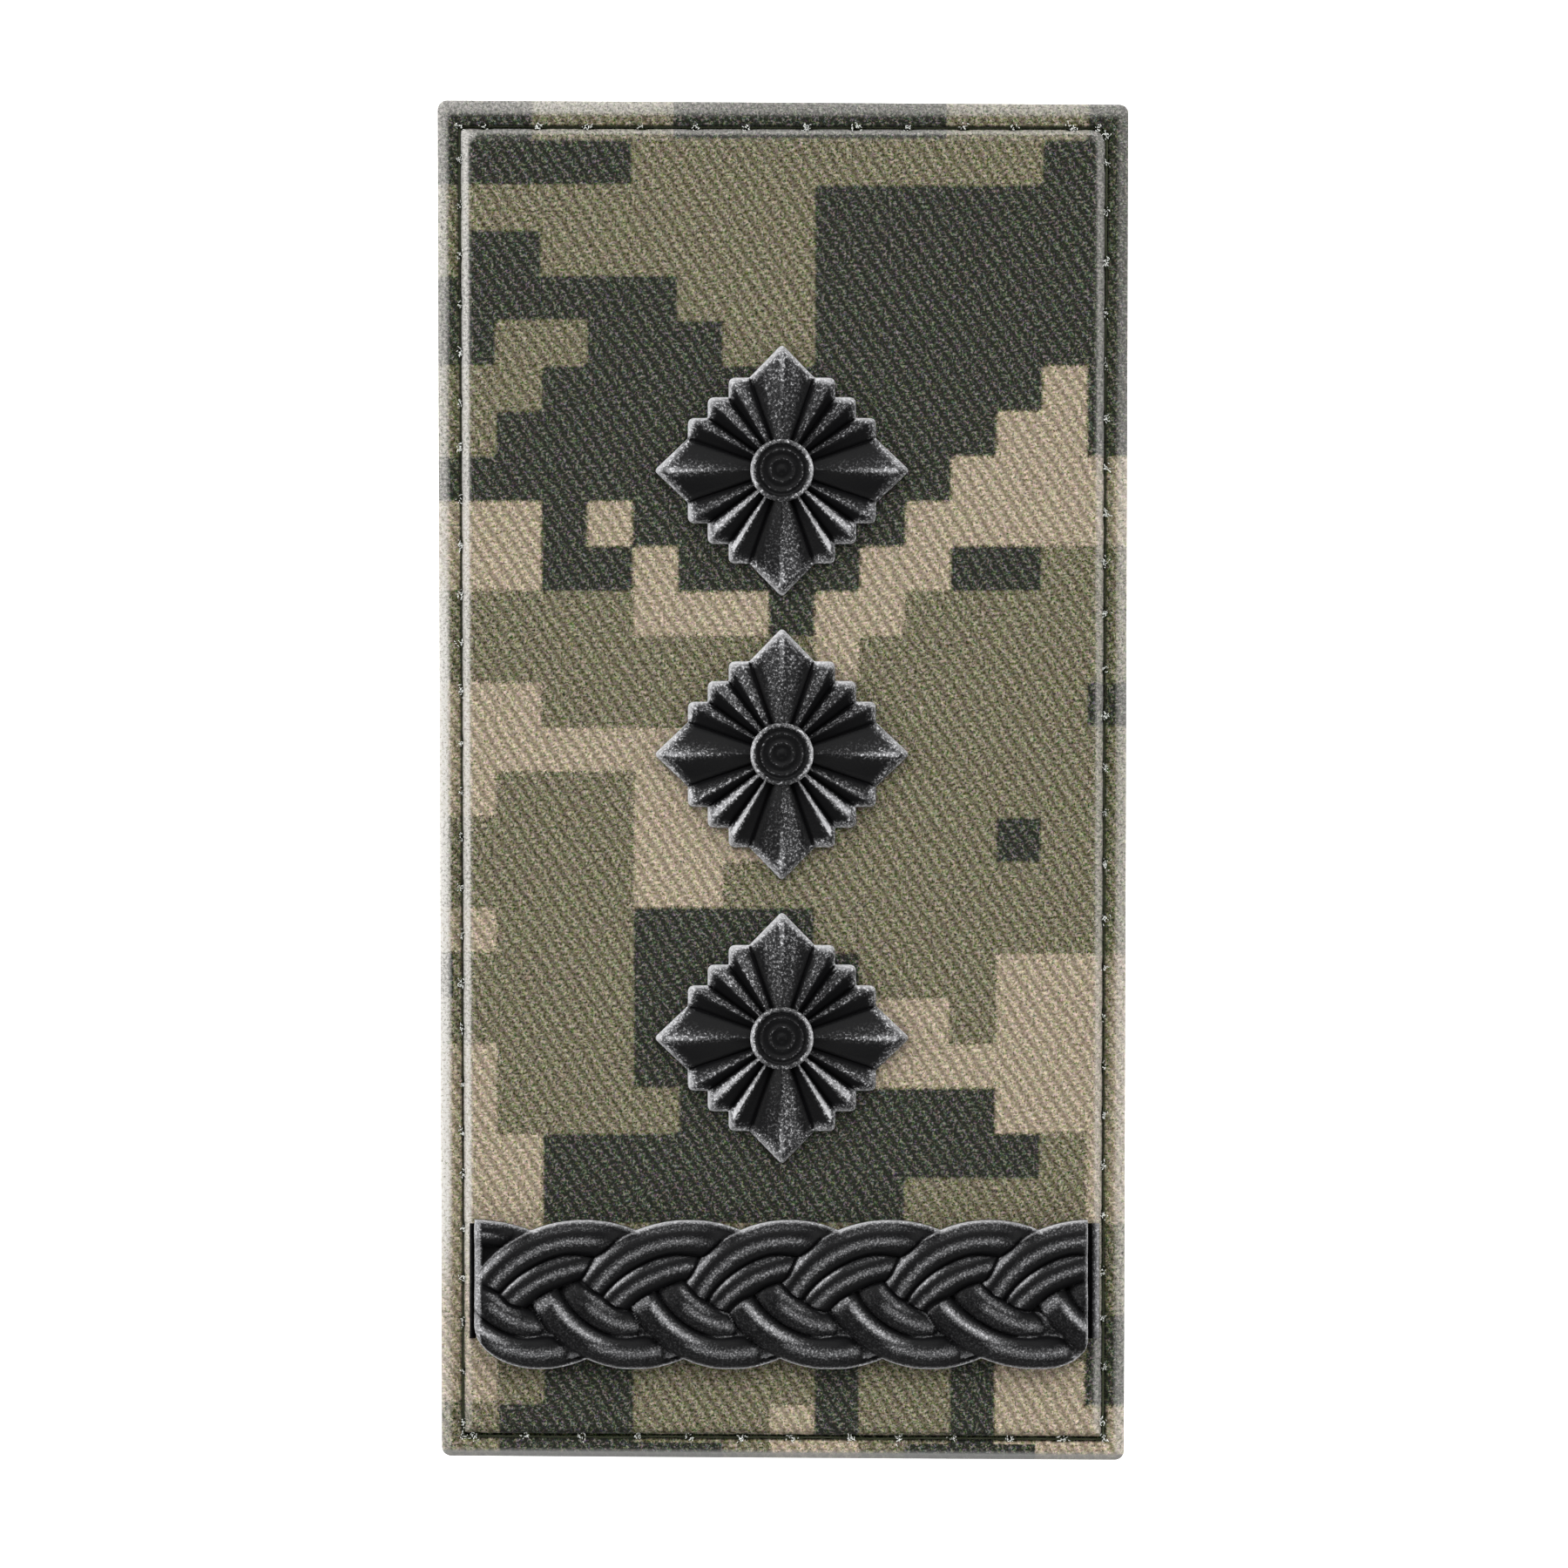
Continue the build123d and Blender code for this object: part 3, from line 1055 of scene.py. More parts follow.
    def out_of_square(self, points: np.ndarray) -> np.ndarray:
        """Widen the board a little towards the top, skew its ends and lower its top rim.

        Args:
            points: points of a square board.

        Returns:
            The points moved, with the board's middle left in place.
        """
        moved = points.copy()
        moved[:, 0] += points[:, 0] * (self.stretch + self.taper * points[:, 1] / self.half_y)
        above = points[:, 1] > 0
        near_end = np.abs(points[:, 1] / self.half_y) ** np.where(above, *self.skew_powers)
        moved[:, 1] -= (points[:, 0] * self.skew + self.top_short * above) * near_end
        return moved

    def round_corners(self, x: np.ndarray, y: np.ndarray) -> tuple[np.ndarray, np.ndarray]:
        """Pull the grid's square corners in to the board's rounded ones.

        Args:
            x: places across the square-cornered grid.
            y: places along it.

        Returns:
            The places with rounded corners.
        """
        radius = self.corner_radius
        over_x = np.maximum(np.abs(x) - (self.half_x - radius), 0) / radius
        over_y = np.maximum(np.abs(y) - (self.half_y - radius), 0) / radius
        moved_x = over_x * np.sqrt(1 - over_y ** 2 / 2) * radius
        moved_y = over_y * np.sqrt(1 - over_x ** 2 / 2) * radius
        new_x = np.sign(x) * (np.minimum(np.abs(x), self.half_x - radius) + moved_x)
        new_y = np.sign(y) * (np.minimum(np.abs(y), self.half_y - radius) + moved_y)
        return new_x, new_y

    def store_tones(self, cloth: bpy.types.Object, points: np.ndarray, flat: np.ndarray,
                    holes: np.ndarray) -> None:
        """Store the print's inks, the pale cut edge, the painted sheen and the groove's green painted shade.

        Args:
            cloth: the cloth's mesh object.
            points: its points.
            flat: their places on the flat cloth.
            holes: the needle holes' places.
        """
        inks = self.print.shares(flat[:, 0], flat[:, 1])
        for ink, share in inks.items():
            store_share(cloth, ink.value, share)
        x, y, z = points.T
        z = z - self.back_z
        inset = self.outline_inset(x, y)
        foot = self.panel_inset(x, y, self.pinch(x, y, holes))
        below = self.rim_height - np.array(self.below_rim)
        wall = smooth_step(*below, z) * (inset < 0.2)
        band, blur = self.cut_edge_band, self.cut_edge_blur
        lower_side = smooth_step(band + blur, band - blur, self.half_y + y)
        cut_edge = np.maximum(lower_side * self.cut_edge_cover, wall * self.cut_edge_sides)
        store_share(cloth, "cut_edge", cut_edge)
        # Painted sheen on the rim, weaker over dark ink, on the walls and near the lower left end.
        low_end = 1 - self.sheen_low_end * smooth_step(*self.sheen_low_end_y, y) * (x < 0)
        painted_sheen = self.painted_rim_sheen(x, y, low_end) * (1 - (1 - self.sheen_on_dark) * inks[Ink.DARK])
        painted_sheen = painted_sheen * (1 - (1 - self.sheen_on_wall) * wall)
        # Painted highlight on the panel's flank, strongest on the left side that faces the light.
        reach = self.at_side(x, y, self.flank_reach)
        flank = smooth_step(0.0, 0.1, foot) * smooth_step(1.0, 0.65, foot / reach)
        pale = self.at_side(x, y, self.painted_flank_highlight) * low_end
        store_share(cloth, "painted_sheen", np.maximum(painted_sheen * (1 - lower_side), flank * pale))
        # Painted shade in the groove and on the rim beside it, stored as the groove share.
        depth = smooth_step(below[0], self.groove_floor + 0.1, z)
        in_groove = depth * (inset > self.groove_zone[0]) * (inset < self.groove_zone[1])
        shade = self.at_side(x, y, self.rim_shade) * smooth_step(*self.rim_shade_zone, foot)
        store_share(cloth, "groove", np.maximum(in_groove, shade * (foot < 0)))

    def painted_rim_sheen(self, x: np.ndarray, y: np.ndarray, low_end: np.ndarray) -> np.ndarray:
        """Say how much painted sheen lies on the rim at its left, right and upper side, strongest at the
        left.

        Args:
            x: places across the board.
            y: places along the board.
            low_end: how much of the painted sheen is left near the board's lower left end.

        Returns:
            The share for each point.
        """
        beside = smooth_step(self.sheen_width + 0.2, self.sheen_width - 0.2, self.half_x - np.abs(x))
        above = smooth_step(self.sheen_width_top + 0.3, self.sheen_width_top - 0.25, self.half_y - y)
        ends = zip(self.sheen_high_end, self.sheen_high_end_y)
        thinning = [most * smooth_step(*zone, y) for most, zone in ends]
        high_end = 1 - np.where(x < 0, *thinning)
        side_sheen = np.where(x < 0, self.painted_sheen.left, self.painted_sheen.right) * low_end * high_end
        top_sheen = self.painted_sheen.top * (1 + self.sheen_top_left * smooth_step(*self.sheen_top_left_x, x))
        return np.maximum(beside * side_sheen, above * top_sheen)


@dataclass
class GrooveStitching:
    """The line of stitches that lies in the groove, with frayed fibre at its needle holes."""

    thread_dye: str = "#3f4827"
    fibre_dye: str = "#e9ece7"
    thread_radius: float = 0.1
    ply_share: float = 0.56
    twist_length: float = 0.62
    rise_over_floor: float = 0.3
    hole_dip: float = 0.55
    arch_run: float = 0.5
    slack: float = 0.05
    pitch: Sides = Sides(3.58, 3.69, 3.87, 3.97)
    first_hole: Sides = Sides(0.35, 0.6, 0.45, 0.8)
    pitch_play: float = 0.25
    points_per_stitch: int = 18
    thread_sides: int = 7
    hairs_per_hole: int = 15
    hair_points: int = 6
    hair_sides: int = 4
    hair_root: float = 0.62
    hair_radius: float = 0.032
    hair_length: float = 0.42
    hair_spread: Span = (0.18, 0.16)
    seed: int = 11

    def corners(self, board: BoardCloth) -> list[tuple[Side, np.ndarray, np.ndarray]]:
        """Give the start and end of each run of stitches, in the middle of the groove.

        Args:
            board: the padded front that the stitches lie in.

        Returns:
            Side, start and end of the runs, going round the panel with its cut corner.
        """
        inset = Sides(*(foot - width / 2 for foot, width in zip(board.panel_foot, board.groove_width)))
        left, right = inset.left - board.half_x, board.half_x - inset.right
        top, bottom = board.half_y - inset.top, inset.bottom - board.half_y
        cut = board.panel_corner_cut
        corners = np.array([(left, bottom), (left, top), (right - cut, top), (right, top - cut),
                            (right, bottom)])
        sides = (Side.LEFT, Side.TOP, Side.TOP, Side.RIGHT, Side.BOTTOM)
        return list(zip(sides, corners, np.roll(corners, -1, axis=0)))

    def holes(self, board: BoardCloth) -> np.ndarray:
        """Place the needle holes along the groove.

        Args:
            board: the padded front that the stitches lie in.

        Returns:
            The holes' places in order round the groove.
        """
        random = np.random.default_rng(self.seed)
        found = []
        for side, start, end in self.corners(board):
            length = np.linalg.norm(end - start)
            count = round(length / self.pitch.of(side))
            share = (np.arange(count) + self.first_hole.of(side)) / max(1, count)
            share += random.uniform(-self.pitch_play, self.pitch_play, count) / length
            found.append(start + np.append(0.0, share)[:, None] * (end - start))
        return np.concatenate(found)

    def build(self, board: BoardCloth, holes: np.ndarray) -> list[bpy.types.Object]:
        """Build the stitches and the fibre tufts.

        Args:
            board: the padded front that the stitches lie in.
            holes: the needle holes' places.

        Returns:
            The stitches and the tufts.
        """
        random = np.random.default_rng(self.seed + 1)
        floor_z = board.back_z + board.groove_floor
        plies, hairs = [], []
        for hole, follow in zip(holes, np.roll(holes, -1, axis=0)):
            plies.extend(self.stitch(hole, follow, floor_z, random))
            hairs.extend(self.tuft(hole, follow, floor_z, random))
        thread = SewingThread("olive_thread", self.thread_dye)
        fibre = SewingThread("pale_fibre", self.fibre_dye)
        pieces = []
        for name, parts, finish in (("groove_stitches", plies, thread), ("needle_hole_fuzz", hairs, fibre)):
            points, faces = join_parts(parts)
            piece = mesh_piece(name, board.out_of_square(points), faces)
            piece.data.materials.append(finish.build())
            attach(piece, "root")
            pieces.append(piece)
        return pieces

    def stitch(self, start: np.ndarray, end: np.ndarray, floor_z: float,
               random: np.random.Generator) -> list[Mesh]:
        """Twist two plies from one needle hole to the next.

        Args:
            start: the needle hole where the stitch comes up.
            end: the needle hole where it goes down.
            floor_z: height of the groove's floor.
            random: the seeded source of small differences.

        Returns:
            Points and faces of both plies.
        """
        share = np.linspace(0, 1, self.points_per_stitch)
        length = np.linalg.norm(end - start)
        aside = np.array([start[1] - end[1], end[0] - start[0]]) / length
        bow = random.uniform(-self.slack, self.slack) * np.sin(math.pi * share)
        arch = np.minimum(1, np.minimum(share, 1 - share) * length / self.arch_run)
        arch = np.sqrt(1 - (1 - arch) ** 2)
        z = floor_z + self.rise_over_floor - self.hole_dip * (1 - arch)
        line = np.column_stack([start + share[:, None] * (end - start) + bow[:, None] * aside, z])
        angle = 2 * math.pi * share * length / self.twist_length + random.uniform(0, 2 * math.pi)
        ply_radius = self.thread_radius * self.ply_share
        offset = self.thread_radius - ply_radius
        plies = []
        for half_turn in (0.0, math.pi):
            sway = np.cos(angle + half_turn)[:, None] * aside * offset
            ply = line + np.column_stack([sway, np.sin(angle + half_turn) * offset])
            plies.append(tube(ply, np.full(len(ply), ply_radius), self.thread_sides))
        return plies

    def tuft(self, hole: np.ndarray, follow: np.ndarray, floor_z: float,
             random: np.random.Generator) -> list[Mesh]:
        """Curl a few loose fibres up out of a needle hole.

        Args:
            hole: the needle hole's place.
            follow: the next needle hole's place.
            floor_z: height of the groove's floor.
            random: the seeded source of small differences.

        Returns:
            Points and faces of each fibre.
        """
        ahead = (follow - hole) / np.linalg.norm(follow - hole)
        aside = np.array([-ahead[1], ahead[0]])
        size = random.uniform(0.5, 1.2)
        share = np.linspace(0, 1, self.hair_points)[:, None]
        fibres = []
        for _ in range(self.hairs_per_hole):
            heading = random.uniform(0, 2 * math.pi)
            reach = self.hair_length * random.uniform(0.3, 1.0) * size
            offset = ahead * random.normal(0, self.hair_spread[0])
            offset = offset + aside * random.normal(0, self.hair_spread[1])
            flat = np.array([math.cos(heading), math.sin(heading)])
            side = np.array([-flat[1], flat[0]]) * random.uniform(-0.5, 0.5)
            run = (flat * share + side * share ** 2) * reach * 0.6
            rise = np.sin(share * math.pi * random.uniform(0.5, 0.8)) * reach
            root = np.append(hole + offset, floor_z + self.hair_root)
            radii = self.hair_radius * (1.1 - 0.7 * share[:, 0])
            fibres.append(tube(root + np.column_stack([run, rise]), radii, self.hair_sides))
        return fibres


class CornerKind(Enum):
    """What a corner of a pip's outline is."""

    POINT = "point"
    RAY = "ray"
    VALLEY = "valley"


class CornerShape(NamedTuple):
    """How a kind of corner is moulded: its bevel's width, its roundings and its height."""

    bevel: float
    rounding: float
    ridge_rounding: float
    height: float


class StarCorner(NamedTuple):
    """One corner of a pip's outline; across and up are shares of the pip's reach."""

    kind: CornerKind
    across: float
    up: float


@dataclass(frozen=True)
class PipWearAndLight:
    """Where a pip is painted pale: painted highlights and glints on rims, ridges near their tips and what
    faces the light up the board, partly scuffing.
    """

    light_from: tuple[float, float, float] = (-0.45, 0.85, 0.0)
    wall: float = 0.12
    rim: float = 0.56
    rim_lit: float = 0.4
    rim_at_tip: float = 0.25
    rim_reach: float = 0.05
    bevel_unlit: float = 0.3
    bevel_beside_tip: float = 0.38
    bevel_inside: float = 0.68
    bevel_inside_lit: float = 0.28
    bevel_crease: float = 0.8
    ridge: float = 0.55
    ridge_foot: float = 0.16
    ridge_sideways: float = 0.14
    slope: float = 0.52
    slope_east: float = 0.16
    grain: float = 0.27
    glint_low: float = 0.2
    glint_low_outward: float = 0.4
    glint_northwest: float = 0.5
    # How much more the painted glints in the grain show on the east half of a point, as the light falls:
    # lower right, lower left, upper.
    point_tilt: tuple[float, float, float] = (0.24, 0.62, -0.1)
    button_rim: float = 0.95
    button_ring: float = 0.22

    def on_rim(self, facing: np.ndarray, sharp: np.ndarray) -> np.ndarray:
        """Say how pale the outer rim is painted: scuffing and a painted highlight, most at the tips and
        towards the light.
        """
        lit = smooth_step(-0.5, 0.25, facing @ self.light_from)
        return np.minimum(1, self.rim + self.rim_lit * lit + self.rim_at_tip * sharp)

    def on_bevel(self, share: float, facing: np.ndarray, across: np.ndarray,
                 crease: np.ndarray) -> np.ndarray:
        """Say how pale the bevel is painted: a painted highlight most at its outer edge and where it faces
        the light up and left, and painted shade in a valley's crease.

        Args:
            share: 0 at the bevel's outer edge and 1 at its inner one.
            facing: the direction each point faces.
            across: 1 towards the left, right and lower points, less beside them.
            crease: 1 in a valley's crease and 0 away from it.

        Returns:
            The share for each point.
        """
        lit = smooth_step(-0.45, 0.25, facing @ self.light_from)
        beside_tip = smooth_step(0.925, 0.945, across) * smooth_step(0.999, 0.95, across)
        unlit = smooth_step(0.05, 0.6, facing[:, 0]) * (1 - 0.5 * lit)
        strength = 1 - self.bevel_unlit * unlit - self.bevel_beside_tip * beside_tip
        inside = (self.bevel_inside - self.bevel_inside_lit * lit) * share ** (1.1 + 1.2 * lit)
        return strength * (1 - inside) * (1 - self.bevel_crease * crease * share)

    def on_facet(self, share: float, facing: np.ndarray, turn: np.ndarray,
                 level: np.ndarray) -> np.ndarray:
        """Say how pale the facets are painted: painted highlights on ridges and on slopes facing the light,
        and painted glints in the grain where they face up the board, smooth at its sides.

        Args:
            share: 0 at the bevel and 1 at the crown.
            facing: the direction each point faces.
            turn: each point's angle round the pip's middle.
            level: 0 in a valley and 1 on a ridge.

        Returns:
            The share for each point.
        """
        east, north = facing[:, 0], facing[:, 1]
        across, up = np.cos(turn), np.sin(turn)
        sideways = smooth_step(0.86, 0.95, np.abs(across))
        ridge = self.ridge * level ** 26 + self.ridge_foot * level ** 6
        ridge = (ridge + self.ridge_sideways * sideways * level ** 5) * max(0.0, 1 - 1.15 * share)
        slope = (self.slope - self.slope_east * (east > 0)) * level ** 2.4
        slope = slope * sideways * (north > 0.02) * (1 - 0.8 * share)
        low = smooth_step(0.1, 0.35, north) * (up < 0)
        outward = smooth_step(0.3, 0.55, np.abs(east))
        grain = self.grain + (self.glint_low + self.glint_low_outward * outward) * low
        grain *= smooth_step(0.1, 0.5, level) * (1 - sideways) * smooth_step(-0.3, 0.02, north)
        northwest = smooth_step(0.3, 0.5, -across) * smooth_step(0.4, 0.7, up)
        grain *= (1 + self.glint_northwest * northwest) * (1.2 - 0.5 * share)
        low_right, low_left, upper = self.point_tilt
        tilt = np.where(up < 0, np.where(east > 0, low_right, low_left), upper)
        grain *= 1 + smooth_step(0.34, 0.24, np.abs(across)) * tilt * np.clip(2 * east, -1, 1)
        return np.maximum(np.maximum(ridge, slope), grain)

    def on_button(self, radius: float, height: float, turn: np.ndarray) -> np.ndarray:
        """Say how pale the button is painted: a painted highlight on its rim, brightest at its left and
        right, and on its two rings.

        Args:
            radius: how far from the middle.
            height: the height there.
            turn: the angle of each point.

        Returns:
            The share for each point.
        """
        on_rim = bell(radius, 2.18, 0.2) * (height > 1.5)
        on_ring = bell(radius, 1.52, 0.07) + bell(radius, 0.85, 0.08)
        sides = 0.52 + 0.48 * np.cos(turn) ** 2 - 0.12 * np.clip(-np.sin(turn), 0, 1)
        return np.minimum(1.0, self.button_rim * on_rim * sides + self.button_ring * on_ring)


@dataclass
class Pip:
    """A rayed diamond with a round button in its middle, moulded in rubber."""

    node: str
    off_centre: Span = (-0.075, -0.01)
    stretch: Span = (1.012, 1.001)
    edge_height: float = 0.35
    pale_wall_band: float = 0.08
    point: CornerShape = CornerShape(0.62, 0.35, 0.34, 1.2)
    ray: CornerShape = CornerShape(0.6, 0.52, 0.4, 1.2)
    valley: CornerShape = CornerShape(0.3, 0.1, 0.2, 0.38)
    valley_crease: float = 0.2
    crown_height: float = 1.35
    crown_valley: float = 0.85
    # How the bevel bulges between its two edges: their shares and its lift.
    bevel_bulge: tuple[float, float, float] = (0.62, 0.38, 0.16)
    bend_points: int = 7
    side_points: int = 4
    bevel_rings: int = 6
    facet_rings: int = 26
    middle_radius: float = 1.6
    quarter: tuple[StarCorner, ...] = (
        StarCorner(CornerKind.POINT, 0.0, 1.0),
        StarCorner(CornerKind.VALLEY, 0.254, 0.735),
        StarCorner(CornerKind.RAY, 0.416, 0.735),
        StarCorner(CornerKind.VALLEY, 0.416, 0.58),
        StarCorner(CornerKind.RAY, 0.58, 0.58),
        StarCorner(CornerKind.VALLEY, 0.58, 0.416),
        StarCorner(CornerKind.RAY, 0.735, 0.416),
        StarCorner(CornerKind.VALLEY, 0.735, 0.254),
    )
    button_profile: tuple[Span, ...] = (
        (2.3, 0.0), (2.3, 1.55), (2.28, 1.72), (2.2, 1.84), (2.09, 1.9), (1.97, 1.86),
        (1.9, 1.76), (1.84, 1.68), (1.62, 1.66), (1.58, 1.71), (1.52, 1.75), (1.46, 1.71),
        (1.42, 1.66), (1.0, 1.64), (0.94, 1.69), (0.85, 1.74), (0.76, 1.7), (0.7, 1.65),
        (0.4, 1.64), (0.32, 1.68), (0.2, 1.75), (0.08, 1.77))
    button_sides: int = 96
    wear_and_light: PipWearAndLight = PipWearAndLight()

    def __post_init__(self) -> None:
        """Take the pip's place and reach from the CAD node."""
        box = NodeBox(self.node)
        self.middle = box.middle[:2] + np.array(self.off_centre)
        self.base_z = box.low[2]
        self.reach = box.size[0] / 2

    def build(self, rubber: bpy.types.Material) -> bpy.types.Object:
        """Build the star and its button as one moulding.

        Args:
            rubber: the material it is moulded in.

        Returns:
            The moulding, riding on the frame in place of its CAD node.
        """
        (star, star_rubbed_or_lit), (button, button_rubbed_or_lit) = self.star(), self.button()
        points, faces = join_parts([star, button])
        points = points * np.array([*self.stretch, 1.0]) + np.array([*self.middle, self.base_z])
        pip = mesh_piece(self.node + "_moulding", points, faces)
        store_share(pip, "rubbed_or_lit", np.concatenate([star_rubbed_or_lit, button_rubbed_or_lit]))
        pip.data.materials.append(rubber)
        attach(pip, "root")
        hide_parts(self.node)
        return pip

    def star(self) -> tuple[Mesh, np.ndarray]:
        """Build the rayed star: a low wall, a bevel and facets that rise to the middle.

        Returns:
            Its mesh and its share of scuffing and painted highlight at each point.
        """
        kinds, plan = self.plan()
        shapes = np.array([getattr(self, kind.value) for kind in kinds])
        bevel, rounding, ridge_rounding, height = shapes.T
        inward = plan / np.linalg.norm(plan, axis=1)[:, None]
        walls = (0.0, self.edge_height - self.pale_wall_band, self.edge_height)
        rings = [self.ring(plan, level, rounding) for level in walls]
        edge_ring = rings[-1]
        top_ring = self.ring(plan - inward * bevel[:, None], height, ridge_rounding)
        sharp = self.corner_share(kinds, (CornerKind.POINT, CornerKind.RAY), 3.0)
        crease = self.corner_share(kinds, (CornerKind.VALLEY,), 2.6)
        top_ring[:, 2] -= self.valley_crease * crease
        turn = np.arctan2(top_ring[:, 1], top_ring[:, 0])
        rise = (top_ring[:, 2] - self.valley.height) / (self.point.height - self.valley.height)
        crown = np.column_stack([self.middle_radius * np.cos(turn), self.middle_radius * np.sin(turn),
                                 self.crown_valley + (self.crown_height - self.crown_valley) * rise])
        outer, inner, lift = self.bevel_bulge
        knee = edge_ring * outer + top_ring * inner + np.array([0.0, 0.0, lift])
        bevel_shares = np.linspace(0, 1, self.bevel_rings + 1)[1:]
        facet_shares = np.linspace(0, 1, self.facet_rings + 1)[1:]
        for share in bevel_shares:
            bulged = (1 - share) ** 2 * edge_ring + 2 * share * (1 - share) * knee
            rings.append(bulged + share ** 2 * top_ring)
        rings.extend(top_ring + share * (crown - top_ring) for share in facet_shares)
        count = len(edge_ring)
        points, faces = np.concatenate(rings), stack_faces(len(rings), count)
        facing = point_normals(points, np.array(faces[1:-1])).reshape(len(rings), count, 3)
        rubbed_or_lit = [0.0 * sharp, self.wear_and_light.wall * sharp, self.wear_and_light.on_rim(facing[2], sharp)]
        across = np.maximum(np.abs(np.cos(turn)), -np.sin(turn))
        for place, share in enumerate(bevel_shares, len(walls)):
            rubbed_or_lit.append(self.wear_and_light.on_bevel(share, facing[place], across, crease))
        rim, level = rubbed_or_lit[-1], np.clip(rise / 0.93, 0, 1)
        for place, share in enumerate(facet_shares, len(rubbed_or_lit)):
            fading_rim = rim * bell(share, 0.0, self.wear_and_light.rim_reach)
            rubbed_or_lit.append(np.maximum(fading_rim, self.wear_and_light.on_facet(share, facing[place], turn, level)))
        return (points, faces), np.concatenate(rubbed_or_lit)

    def plan(self) -> tuple[list[CornerKind], np.ndarray]:
        """Turn the first quarter round to all corners of the outline, anticlockwise."""
        kinds, plan = [], []
        for turn in range(4):
            cos, sin = math.cos(-math.pi / 2 * turn), math.sin(-math.pi / 2 * turn)
            for kind, across, up in self.quarter:
                kinds.append(kind)
                plan.append((across * cos - up * sin, across * sin + up * cos))
        return kinds[::-1], np.array(plan[::-1]) * self.reach

    def ring(self, plan: np.ndarray, height: Union[float, np.ndarray], cuts: np.ndarray) -> np.ndarray:
        """Lay a ring through the corners of a plan at a height, with its corners rounded."""
        corners = np.column_stack([plan, np.broadcast_to(height, len(plan))])
        return rounded_path(corners, cuts, self.bend_points, self.side_points, True)

    def corner_share(self, kinds: list[CornerKind], wanted: tuple[CornerKind, ...],
                     reach: float) -> np.ndarray:
        """Say how near each point of a ring is to a corner of some kinds.

        Args:
            kinds: the kind of each corner in order.
            wanted: the kinds to look for.
            reach: how many points away the share falls to 0.

        Returns:
            1 on such a corner, falling to 0 a few points away.
        """
        steps = np.abs(np.arange(self.bend_points) - (self.bend_points - 1) / 2)
        bend = np.append(np.maximum(0.0, 1 - steps / reach), np.zeros(self.side_points))
        return np.concatenate([bend * (kind in wanted) for kind in kinds])

    def button(self) -> tuple[Mesh, np.ndarray]:
        """Turn the button's profile round its middle.

        Returns:
            Its mesh and its share of scuffing and painted highlight at each point.
        """
        turn = np.linspace(0, 2 * math.pi, self.button_sides, endpoint=False)
        circle = np.column_stack([np.cos(turn), np.sin(turn), np.ones(len(turn))])
        rings = [circle * (radius, radius, height) for radius, height in self.button_profile]
        rubbed_or_lit = [self.wear_and_light.on_button(radius, height, turn) for radius, height in self.button_profile]
        faces = stack_faces(len(rings), self.button_sides)
        return (np.concatenate(rings), faces), np.concatenate(rubbed_or_lit)


class Band(NamedTuple):
    """A painted highlight band on a cord: where it lies across it, how strong, and where it comes and goes.
    """

    middle: float
    reach: float
    strength: float
    comes: Optional[Span] = None
    goes: Optional[Span] = None

    def at(self, aside: np.ndarray, along: np.ndarray) -> np.ndarray:
        """Give the band's share at places across and along the cord."""
        share = self.strength * bell(aside, self.middle, self.reach)
        if self.comes:
            share = share * smooth_step(*self.comes, along)
        if self.goes:
            share = share * (1 - smooth_step(*self.goes, along))
        return share


class Cord(NamedTuple):
    """One cord of the plait, as an arc from where it comes up to where it dives.

    Along is a share of the strand pitch from the strand's own notch, up and radius are
    shares of half the plait's width.
    """

    upper: bool
    radius: float
    start_along: float
    start_up: float
    crest_along: float
    crest_up: float
    end_along: float
    end_up: float
    bands: tuple[Band, ...] = ()


@dataclass(frozen=True)
class PlaitWearAndLight:
    """How pale the plait's rims, posts, cords and flanges are painted: painted highlights, partly scuffing.
    """

    web: float = 0.14
    top_rim: float = 0.72
    top_rim_rising: float = 0.28
    top_reach: float = 0.27
    top_reach_climbing: float = 0.16
    low_rim: float = 0.92
    low_reach: float = 0.15
    end_rim: float = 0.7
    end_reach: float = 0.2
    meeting: float = 0.95
    meeting_reach: float = 0.2
    post: float = 0.72
    post_blur: float = 0.06
    top_half: float = 0.27
    low_side: float = 0.12
    tip: float = 0.55
    wall: float = 0.7
    foot: float = 0.05
    left_flange: float = 0.1
    right_flange: float = 0.36
    right_flange_outside: float = 0.45

    def on_cord(self, cord: Cord, aside: np.ndarray, along: np.ndarray) -> np.ndarray:
        """Say how pale a cord is painted: a painted highlight along its crest, and on its upper flank where
        it comes up.

        Args:
            cord: the cord's arc.
            aside: the place across the cord, -1 at its lower edge and 1 at its upper one.
            along: the place along the cord, 0 where it comes up and 1 where it dives.

        Returns:
            The share for each place.
        """
        found = np.maximum.reduce([band.at(aside, along) for band in cord.bands])
        if cord.upper:
            half = smooth_step(0.3, 0.55, aside) * smooth_step(0.25, 0.5, along)
            return np.maximum(found, self.top_half * half * (1 - smooth_step(0.7, 0.9, along)))
        tip = self.tip * bell(along, 0.04, 0.045) * (cord.crest_up < -0.5) * (aside < 0.35)
        return np.maximum(np.maximum(found, self.low_side * (aside < 0.1)), tip)

    def on_flange(self, points: np.ndarray, near: float, far: float) -> np.ndarray:
        """Say how pale a flange is painted, a painted highlight most along the right one's outer side.

        Args:
            points: the flange's points.
            near: its left side, from the bar's left end.
            far: its right side.

        Returns:
            The share for each point.
        """
        outside = smooth_step(0.6, 0.95, (points[:, 0] - near) / (far - near))
        right = self.right_flange + self.right_flange_outside * outside
        return (right if near > 0 else self.left_flange) * smooth_step(0.15, 0.28, points[:, 2])


